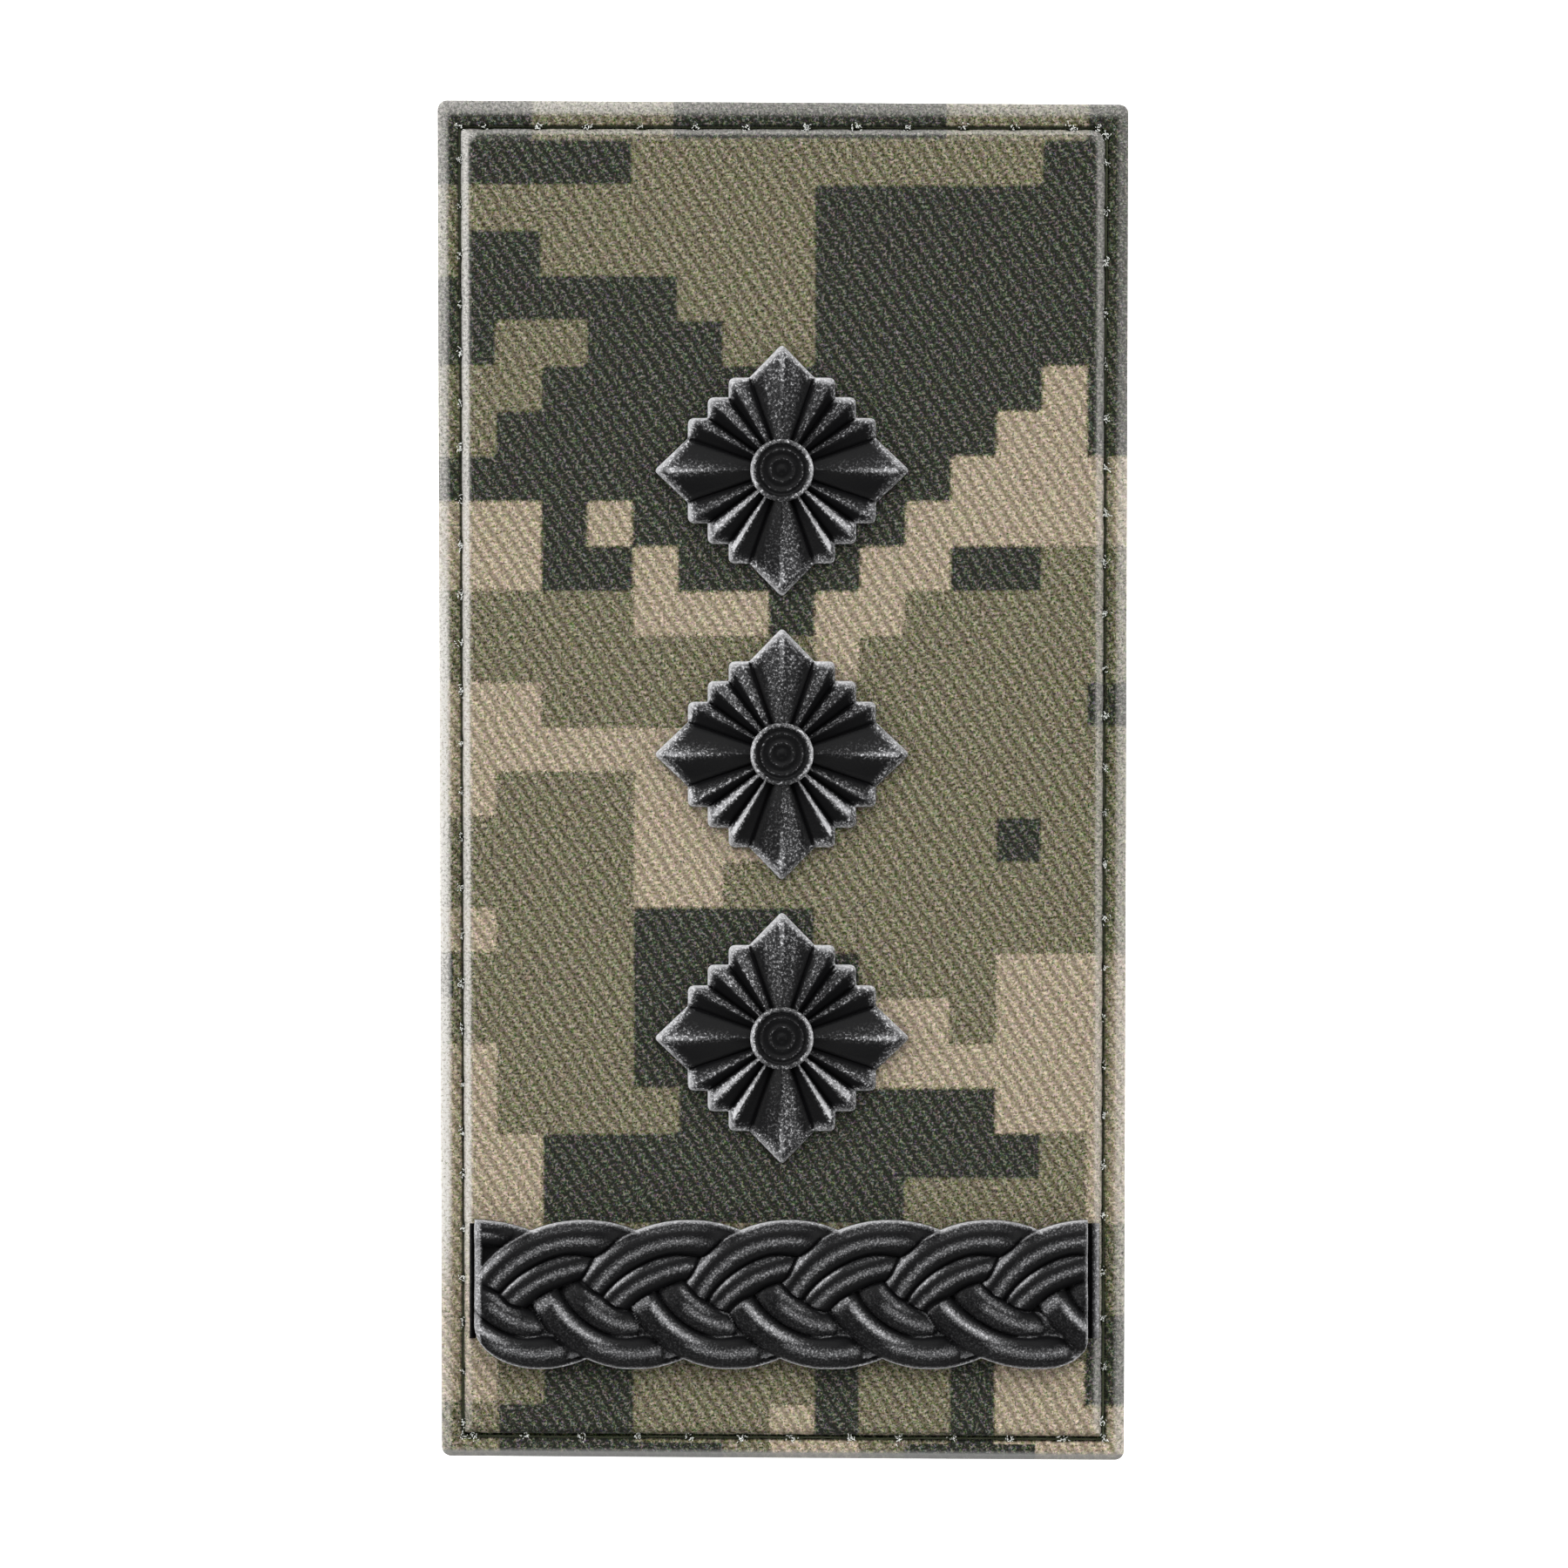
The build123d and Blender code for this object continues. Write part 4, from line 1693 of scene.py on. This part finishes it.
@dataclass
class Plait:
    """A flat moulded bar with the relief of a plait of double strands."""

    node: str = "plait"
    left_flange: float = 0.38
    right_flange: float = 0.9
    flange_height: float = 0.3
    flange_short: Span = (2.2, 0.35)
    flange_rows: int = 60
    bar_height: float = 2.0
    width: float = 11.0
    start_dive: float = 0.5
    start_power: float = 5.0
    end_dive: float = 2.4
    end_power: float = 2.0
    deepest_dive: float = 1.0
    roundness: float = 0.72
    cord_ends: Span = (-0.06, 1.15)
    shift_up: float = 0.2
    web_height: float = 0.75
    web_upper_inset: float = 1.55
    web_lower_inset: float = 0.75
    upper_notches: tuple[float, ...] = (-3.8, 4.3, 12.0, 19.75, 26.85, 34.4, 41.65, 49.0)
    lower_notches: tuple[float, ...] = (-6.2, 1.0, 8.25, 15.35, 22.4, 30.0, 37.1, 45.6, 53.0)
    left_corner: Span = (4.8, 3.3)
    right_corner: Span = (3.2, 2.1)
    end_round: float = 0.3
    end_drop: float = 0.35
    end_post: float = 0.5
    post_height: float = 1.2
    low_height: float = 0.8
    pale_wall_band: float = 0.1
    crease_depth: float = 0.3
    crease_reach: float = 0.14
    step: float = 0.1
    rows: int = 140
    outline_scan: int = 560
    cords: tuple[Cord, ...] = (
        Cord(True, 0.245, -0.47, 0.0, 0.47, 0.745, 1.0, 0.565, (
            Band(-0.14, 0.26, 0.5, goes=(0.7, 0.9)), Band(0.72, 0.22, 0.75, goes=(0.15, 0.45)),
            Band(0.95, 0.08, 0.7, goes=(0.45, 0.8)))),
        Cord(True, 0.215, -0.27, -0.16, 0.22, 0.30, 0.80, 0.40, (
            Band(-0.14, 0.26, 0.5, goes=(0.7, 0.9)), Band(0.72, 0.22, 0.9, goes=(0.15, 0.55)),
            Band(0.95, 0.08, 0.7, goes=(0.45, 0.8)))),
        Cord(False, 0.225, -0.43, -0.02, 0.49, -0.785, 0.95, -0.655, (
            Band(-0.06, 0.34, 0.48, comes=(0.3, 0.5)),
            Band(0.3, 0.27, 0.74, comes=(0.0, 0.12), goes=(0.35, 0.72)))),
        Cord(False, 0.215, -0.13, 0.10, 0.24, -0.35, 0.74, -0.44, (
            Band(0.03, 0.34, 0.48, comes=(0.1, 0.3)),
            Band(0.55, 0.27, 0.45, comes=(0.0, 0.12), goes=(0.35, 0.72)))),
    )
    stub: Cord = Cord(True, 0.165, -0.47, 0.45, 0.44, 0.835, 1.0, 0.66)
    wear_and_light: PlaitWearAndLight = PlaitWearAndLight()

    def __post_init__(self) -> None:
        """Take the bar's place and length from the CAD node."""
        box = NodeBox(self.node)
        self.left_x = box.low[0] + self.left_flange
        self.length = box.size[0] - self.left_flange - self.right_flange
        self.middle_y = box.low[1] + self.width / 2 + self.shift_up
        self.base_z = box.low[2]

    def relief(self, x: np.ndarray, y: np.ndarray) -> dict[str, np.ndarray]:
        """Lay all cords over the web and keep the highest and the next one under it.

        Args:
            x: places along the bar from its left end.
            y: places up the bar from its middle.

        Returns:
            At each place the height, the next cord's height below it, how pale the cord is painted
            with scuffing and painted highlight, and how near it is to a lower cord's end.
        """
        half = self.width / 2
        web = (y > self.web_lower_inset - half) & (y < half - self.web_upper_inset)
        found = {"height": np.where(web, self.web_height, -1.0), "second": np.full(len(x), -1.0),
                 "worn_or_lit": np.full(len(x), self.wear_and_light.web), "ending": np.zeros(len(x))}
        for cord in self.cords:
            notches = self.upper_notches if cord.upper else self.lower_notches
            for notch, follow in zip(notches[:-1], notches[1:]):
                # The upper strand starts at the bar's left end with one thin cord.
                if cord is self.cords[1] and notch < 0:
                    continue
                shape = self.stub if cord.upper and notch < 0 else cord
                height, aside, along = self.cord_section(shape, notch, follow - notch, x, y)
                best = found["height"]
                higher = height > best
                found["second"] = np.where(higher, best, np.maximum(found["second"], height))
                found["height"] = np.where(higher, height, best)
                found["worn_or_lit"] = np.where(higher, self.wear_and_light.on_cord(cord, aside, along), found["worn_or_lit"])
                ending = 0.0 if cord.upper else smooth_step(0.5, 0.75, along)
                found["ending"] = np.where(higher, ending, found["ending"])
        return found

    def cord_section(self, cord: Cord, notch: float, pitch: float, x: np.ndarray,
                     y: np.ndarray) -> tuple[np.ndarray, np.ndarray, np.ndarray]:
        """Give the height of one cord and where on it each place lies.

        Args:
            cord: the cord's arc.
            notch: the place of its strand's notch.
            pitch: the distance to the next notch.
            x: places along the bar.
            y: places up the bar.

        Returns:
            The height at each place, or -1 beside the cord; the place across the cord, from
            -1 at its lower edge to 1; and the place along it, from 0 where it comes up to 1.
        """
        half = self.width / 2
        radius = cord.radius * half
        start = np.array([notch + cord.start_along * pitch, cord.start_up * half])
        crest = np.array([notch + cord.crest_along * pitch, cord.crest_up * half])
        end = np.array([notch + cord.end_along * pitch, cord.end_up * half])
        sides = np.array([crest - start, end - start]) * 2
        squares = np.array([crest @ crest - start @ start, end @ end - start @ start])
        centre = np.linalg.solve(sides, squares)
        bend = np.linalg.norm(start - centre)
        first, middle, last = (math.atan2(*(point - centre)[::-1]) for point in (start, crest, end))
        span = wrap_angle(last - first)
        crest_share = wrap_angle(middle - first) / span
        share = wrap_angle(np.arctan2(y - centre[1], x - centre[0]) - first) / span
        aside = np.hypot(x - centre[0], y - centre[1]) - bend
        before = np.clip((crest_share - share) / crest_share, 0, None)
        after = np.clip((share - crest_share) / (1 - crest_share), 0, None)
        dive = self.start_dive * before ** self.start_power + self.end_dive * after ** self.end_power
        dive = np.minimum(dive, self.deepest_dive)
        fall = radius - np.sqrt(np.maximum(radius ** 2 - aside ** 2, 0))
        inside = (np.abs(aside) < radius) & (share > self.cord_ends[0]) & (share < self.cord_ends[1])
        height = np.where(inside, self.bar_height - dive - self.roundness * fall, -1.0)
        return height, aside / radius * (1 if cord.upper else -1), share

    def outline(self, x: np.ndarray) -> tuple[np.ndarray, np.ndarray]:
        """Find the bar's lower and upper edge at each place along it.

        Args:
            x: places along the bar.

        Returns:
            The lower and the upper edge.
        """
        half = self.width / 2
        scan = np.linspace(-half - 0.3, half + 0.3, self.outline_scan)
        grid_x, grid_y = np.meshgrid(x, scan, indexing="ij")
        covered = self.relief(grid_x.ravel(), grid_y.ravel())["height"].reshape(grid_x.shape) > 0
        lower = scan[covered.argmax(axis=1)]
        upper = scan[len(scan) - 1 - covered[:, ::-1].argmax(axis=1)]
        for from_end, (run, rise) in ((x, self.left_corner), (self.length - x, self.right_corner)):
            gap = np.clip(1 - from_end / run, 0, 1)
            lower = np.maximum(lower, -half + rise * (1 - np.sqrt(1 - gap ** 2)))
        kernel = np.array([0.25, 0.5, 0.25])
        lower, upper = (np.convolve(np.pad(edge, 1, mode="edge"), kernel, mode="valid")
                        for edge in (lower, upper))
        return lower, upper

    def build(self, rubber: bpy.types.Material) -> bpy.types.Object:
        """Build the bar and its two thin flanges.

        Args:
            rubber: the material it is moulded in.

        Returns:
            The bar, riding on the frame in place of its CAD node.
        """
        body, rubbed_or_lit = self.body()
        parts, shares = [body], [rubbed_or_lit]
        for near, far in ((-self.left_flange, 0.0), (self.length, self.length + self.right_flange)):
            flange = self.flange(near, far)
            parts.append(flange)
            shares.append(self.wear_and_light.on_flange(flange[0], near, far))
        points, faces = join_parts(parts)
        points = points + np.array([self.left_x, self.middle_y, self.base_z])
        bar = mesh_piece("plait_moulding", points, faces)
        store_share(bar, "rubbed_or_lit", np.concatenate(shares))
        bar.data.materials.append(rubber)
        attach(bar, "root")
        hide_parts(self.node)
        return bar

    def body(self) -> tuple[Mesh, np.ndarray]:
        """Build the bar's relief and its walls.

        Returns:
            Its mesh and its share of scuffing and painted highlight at each point.
        """
        x = np.linspace(0, self.length, round(self.length / self.step) + 1)
        lower, upper = self.outline(x)
        share = np.linspace(0, 1, self.rows)[:, None]
        y = lower + share * (upper - lower)
        grid_x = np.broadcast_to(x, y.shape)
        found = {name: part.reshape(y.shape) for name, part in self.relief(grid_x.ravel(), y.ravel()).items()}
        best = np.maximum(found["height"], np.where(x < self.end_post, self.post_height, self.low_height))
        apart = best - found["second"]
        crease = self.crease_depth * np.exp(-np.abs(apart) / self.crease_reach)
        from_end = np.minimum(x, self.length - x)
        over = np.clip(1 - from_end / self.end_round, 0, 1)
        z = best - crease - self.end_drop * (1 - np.sqrt(1 - over ** 2))
        top = np.column_stack([grid_x.ravel(), y.ravel(), z.ravel()])
        rim = grid_rim(*y.shape)
        wall, foot = top[rim] - np.array([0.0, 0.0, self.pale_wall_band]), top[rim] * np.array([1.0, 1.0, 0.0])
        wall_ring = np.arange(len(top), len(top) + len(rim))
        foot_ring = wall_ring + len(rim)
        faces = grid_faces(*y.shape).tolist() + ring_faces(wall_ring, rim).tolist()
        faces += ring_faces(foot_ring, wall_ring).tolist() + [foot_ring[::-1].tolist()]
        wear_and_light = self.wear_and_light
        # Painted highlights on the upper rim, stronger where it climbs towards the light, and on the lower
        # rim, the ends and the post.
        climb = np.gradient(upper, self.step)
        top_reach = wear_and_light.top_reach + wear_and_light.top_reach_climbing * smooth_step(0.15, 0.6, climb)
        top_rim = wear_and_light.top_rim + wear_and_light.top_rim_rising * smooth_step(-0.6, 0.4, climb)
        top_rim = top_rim * bell((1 - share) * (upper - lower), 0.0, top_reach)
        low_rim = wear_and_light.low_rim * bell(share * (upper - lower), 0.0, wear_and_light.low_reach)
        end_rim = wear_and_light.end_rim * bell(from_end, 0.0, wear_and_light.end_reach)
        post = wear_and_light.post * smooth_step(self.end_post + wear_and_light.post_blur, self.end_post - wear_and_light.post_blur, x)
        # Painted shade: the pale share fades out in the creases; it also fades out low down, and a painted
        # highlight lies where a lower cord's end meets the next.
        worn_or_lit = found["worn_or_lit"] * (1 - smooth_step(0.02, 0.12, crease)) * smooth_step(0.7, 1.3, z)
        meeting = wear_and_light.meeting * found["ending"] * bell(apart, 0.0, wear_and_light.meeting_reach)
        worn_or_lit = np.maximum(np.maximum(worn_or_lit, meeting), post)
        rubbed_or_lit = np.clip(np.maximum(np.maximum(top_rim, low_rim), np.maximum(end_rim, worn_or_lit)), 0, 1).ravel()
        rubbed_or_lit = np.concatenate([rubbed_or_lit, wear_and_light.wall * rubbed_or_lit[rim], wear_and_light.foot * rubbed_or_lit[rim]])
        return (np.concatenate([top, wall, foot]), faces), rubbed_or_lit

    def flange(self, near: float, far: float) -> Mesh:
        """Build one thin flange, hollow beside the bar and raised at its outer side.

        Args:
            near: its left side, from the bar's left end.
            far: its right side.

        Returns:
            Its points and faces.
        """
        right = near >= self.length
        inner, outer = (near, far) if right else (far, near)
        high = self.flange_height
        profile = [(-0.2, 0.0), (-0.2, 0.08), (0.34, 0.1), (0.46, high), (0.9, high),
                   (1.0, high - 0.1), (1.0, 0.0)]
        along = np.linspace(self.flange_short[0] - self.width / 2, self.width / 2 - self.flange_short[1],
                            self.flange_rows)
        points = [[inner + share * (outer - inner), y, z] for y in along for share, z in profile]
        faces = stack_faces(len(along), len(profile))
        return np.array(points), [face[::-1] for face in faces] if right else faces


@dataclass
class StrapSleeve:
    """The plain cloth tunnel behind the board that the shoulder strap goes through."""

    node: str = "back_sleeve"
    thread_dye: str = "#4a5038"
    wall: float = 1.0
    seam_width: float = 3.2
    flank_run: float = 4.8
    bend_cut: float = 1.3
    bend_points: int = 7
    side_points: int = 9
    row_step: float = 0.8
    hem_width: float = 6.0
    hem_step: float = 0.12
    hem_blur: float = 0.3
    stitch_pitch: float = 2.6
    stitch_share: float = 0.86
    stitch_points: int = 8
    stitch_sides: int = 7
    stitch_radius: float = 0.17
    stitch_rise: float = 0.13
    hem_stitch_inset: float = 0.9
    row_ends: Span = (1.0, 2.0)

    def __post_init__(self) -> None:
        """Take the sleeve's place and size from the CAD node."""
        box = NodeBox(self.node)
        self.half_x = box.size[0] / 2
        self.half_y = box.size[1] / 2
        self.high_z = box.high[2] - self.wall / 2
        self.low_z = box.low[2] + self.wall / 2 + self.stitch_rise

    def middle_line(self) -> np.ndarray:
        """Lay the sleeve's section: seam, sloping flank, flat back, flank and seam."""
        seam_inner = self.half_x - self.seam_width
        flat = seam_inner - self.flank_run
        corners = np.array([(-self.half_x, self.high_z), (-seam_inner, self.high_z), (-flat, self.low_z),
                            (flat, self.low_z), (seam_inner, self.high_z), (self.half_x, self.high_z)])
        cuts = [0.0, self.bend_cut, self.bend_cut, self.bend_cut, self.bend_cut, 0.0]
        path = rounded_path(corners, cuts, self.bend_points, self.side_points, False)
        return path[self.bend_points - 1:len(path) - self.bend_points + 1]

    def build(self) -> list[bpy.types.Object]:
        """Build the sleeve's cloth and the stitches on its hems and seams.

        Returns:
            The cloth and its stitches.
        """
        line = self.middle_line()
        ahead = np.gradient(line, axis=0)
        ahead /= np.linalg.norm(ahead, axis=1)[:, None]
        normal = np.column_stack([-ahead[:, 1], ahead[:, 0]])
        run = np.concatenate([[0], np.cumsum(np.linalg.norm(np.diff(line, axis=0), axis=1))])
        rows = np.linspace(-self.half_y, self.half_y, round(2 * self.half_y / self.row_step) + 1)
        hem, blur = self.hem_width, self.hem_blur
        hems = smooth_step(hem - blur, hem + blur, self.half_y - np.abs(rows))
        points, flat = [], []
        for y, hem in zip(rows, hems):
            half_wall = self.wall / 2 - self.hem_step * hem
            upper, lower = line + normal * half_wall, (line - normal * half_wall)[::-1]
            loop, place = np.concatenate([upper, lower]), np.concatenate([run, run[::-1]])
            points.append(np.column_stack([loop[:, 0], np.full(len(loop), y), loop[:, 1]]))
            flat.append(np.column_stack([place, np.full(len(loop), y)]))
        count = 2 * len(line)
        faces = []
        for row in range(len(rows) - 1):
            lower = np.arange(row * count, (row + 1) * count)
            faces.extend(ring_faces(lower + count, lower).tolist())
        for first in (0, (len(rows) - 1) * count):
            for step in range(len(line) - 1):
                start, mirror = first + step, first + count - 1 - step
                faces.append([start, start + 1, mirror - 1, mirror])
        sleeve = mesh_piece("strap_sleeve", np.concatenate(points), faces)
        store_cloth_place(sleeve, np.concatenate(flat))
        sleeve.data.materials.append(OliveTwill().build())
        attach(sleeve, "root")
        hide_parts(self.node)
        stitches = self.stitches(line, normal, run)
        return [sleeve, stitches]

    def stitches(self, line: np.ndarray, normal: np.ndarray, run: np.ndarray) -> bpy.types.Object:
        """Sew a row along each hem and each seam, on the outer face.

        Args:
            line: the section's middle line.
            normal: the line's upward normals.
            run: the length along the line at each of its points.

        Returns:
            All stitches as one piece.
        """
        parts = []
        sunk = self.wall / 2 + self.stitch_rise - self.stitch_radius
        outer = line - normal * sunk
        hem_y = self.half_y - self.hem_width + self.hem_stitch_inset
        for y in (-hem_y, hem_y):
            for along in self.stitch_row(0.0, run[-1]):
                x, z = (np.interp(along, run, part) for part in outer.T)
                parts.append(self.bead(x, np.full(len(along), y), z))
        seam_x = self.half_x - self.seam_width / 2
        for x in (-seam_x, seam_x):
            for along in self.stitch_row(-self.half_y, self.half_y):
                level = np.full(len(along), self.high_z - sunk)
                parts.append(self.bead(np.full(len(along), x), along, level))
        stitches = mesh_piece("sleeve_stitches", *join_parts(parts))
        stitches.data.materials.append(SewingThread("sleeve_thread", self.thread_dye).build())
        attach(stitches, "root")
        return stitches

    def stitch_row(self, start: float, end: float) -> list[np.ndarray]:
        """Give the places along each stitch of a row from one end to the other."""
        starts = np.arange(start + self.row_ends[0], end - self.row_ends[1], self.stitch_pitch)
        return [np.linspace(place, place + self.stitch_pitch * self.stitch_share, self.stitch_points)
                for place in starts]

    def bead(self, x: np.ndarray, y: np.ndarray, z: np.ndarray) -> Mesh:
        """Lay one stitch along a line, thinner at its two ends."""
        share = np.linspace(0, 1, len(x))
        radii = self.stitch_radius * np.sqrt(np.maximum(1 - (2 * share - 1) ** 4, 0.09))
        return tube(np.column_stack([x, y, z]), radii, self.stitch_sides)


class Lamp(NamedTuple):
    """One soft lamp: compass direction it shines from, its height, size and power."""

    name: str
    compass_deg: float
    height_deg: float
    distance: float
    width: float
    depth: float
    watts: float


@dataclass
class Studio:
    """A white table, soft lamps at the sides and a camera that looks straight down."""

    floor_size: float = 6000.0
    camera_distance: float = 700.0
    aim: tuple[float, float, float] = (0.08, -0.32, 7.3)
    frame_width: float = 115.55
    sensor_width: float = 36.0
    sky: float = 0.3
    clip_start: float = 10.0
    lamps: tuple[Lamp, ...] = (
        Lamp("left_softbox", 176.0, 24.0, 700.0, 600.0, 200.0, 4.0),
        Lamp("top_softbox", 94.0, 44.0, 1400.0, 1806.0, 1246.0, 30.4),
        Lamp("right_softbox", 4.0, 24.0, 700.0, 600.0, 200.0, 3.2),
        Lamp("low_softbox", -90.0, 34.0, 800.0, 700.0, 260.0, 2.25),
    )

    def build(self) -> None:
        """Set up floor, sky, lamps, camera and the plain view transform."""
        half = self.floor_size / 2
        corners = np.array([(-half, -half, 0), (half, -half, 0), (half, half, 0), (-half, half, 0)])
        floor = mesh_piece("floor", corners, [[0, 1, 2, 3]], smooth=False)
        floor.data.materials.append(PaleFloor().build())
        self.make_sky()
        for lamp in self.lamps:
            self.make_lamp(lamp)
        self.make_camera()
        bpy.context.scene.view_settings.view_transform = "Standard"

    def make_sky(self) -> None:
        """Fill the room with a weak even light."""
        world = bpy.data.worlds.new("room")
        world.use_nodes = True
        world.node_tree.nodes.clear()
        light = add_node(world.node_tree, "ShaderNodeBackground", None,
                         {"Color": (1.0, 1.0, 1.0, 1.0), "Strength": self.sky})
        add_node(world.node_tree, "ShaderNodeOutputWorld", None, {"Surface": light})
        bpy.context.scene.world = world

    def make_lamp(self, lamp: Lamp) -> None:
        """Hang one soft lamp that faces the board.

        Args:
            lamp: the lamp's place, size and power.
        """
        light = bpy.data.lights.new(lamp.name, "AREA")
        light.shape = "RECTANGLE"
        light.size = lamp.width * METRES_PER_MM
        light.size_y = lamp.depth * METRES_PER_MM
        light.energy = lamp.watts
        compass, height = math.radians(lamp.compass_deg), math.radians(lamp.height_deg)
        level = math.cos(height)
        back = Vector((math.cos(compass) * level, math.sin(compass) * level, math.sin(height)))
        holder = bpy.data.objects.new(lamp.name, light)
        holder.location = back * lamp.distance * METRES_PER_MM
        holder.rotation_euler = back.to_track_quat("Z", "Y").to_euler()
        bpy.context.scene.collection.objects.link(holder)

    def make_camera(self) -> None:
        """Place the camera straight over the board."""
        data = bpy.data.cameras.new("camera")
        data.sensor_width = self.sensor_width
        data.lens = self.camera_distance * self.sensor_width / self.frame_width
        data.clip_start = self.clip_start * METRES_PER_MM
        camera = bpy.data.objects.new("camera", data)
        across, along, up = self.aim
        camera.location = Vector((across, along, up + self.camera_distance)) * METRES_PER_MM
        bpy.context.scene.collection.objects.link(camera)
        bpy.context.scene.camera = camera


def main() -> None:
    """Build the shoulder board round the CAD frame, and the studio that shows it."""
    logging.basicConfig(level=logging.INFO, format="%(name)s: %(message)s")
    Studio().build()
    board = BoardCloth()
    stitching = GrooveStitching()
    holes = stitching.holes(board)
    pieces = [board.build(holes)]
    pieces += stitching.build(board, holes)
    rubber = MouldedRubber().build()
    finer = MouldedRubber(name="finer_rubber", grain_size_mm=0.16, speck_power=2.3, speck_gain=5.0).build()
    for node in ("pip_lower", "pip_middle", "pip_upper"):
        pieces.append(Pip(node).build(rubber))
    pieces.append(Plait().build(finer))
    pieces += StrapSleeve().build()
    for piece in pieces:
        LOG.info("%s: %d points, %d faces", piece.name, len(piece.data.vertices), len(piece.data.polygons))


if __name__ == "__main__":
    main()
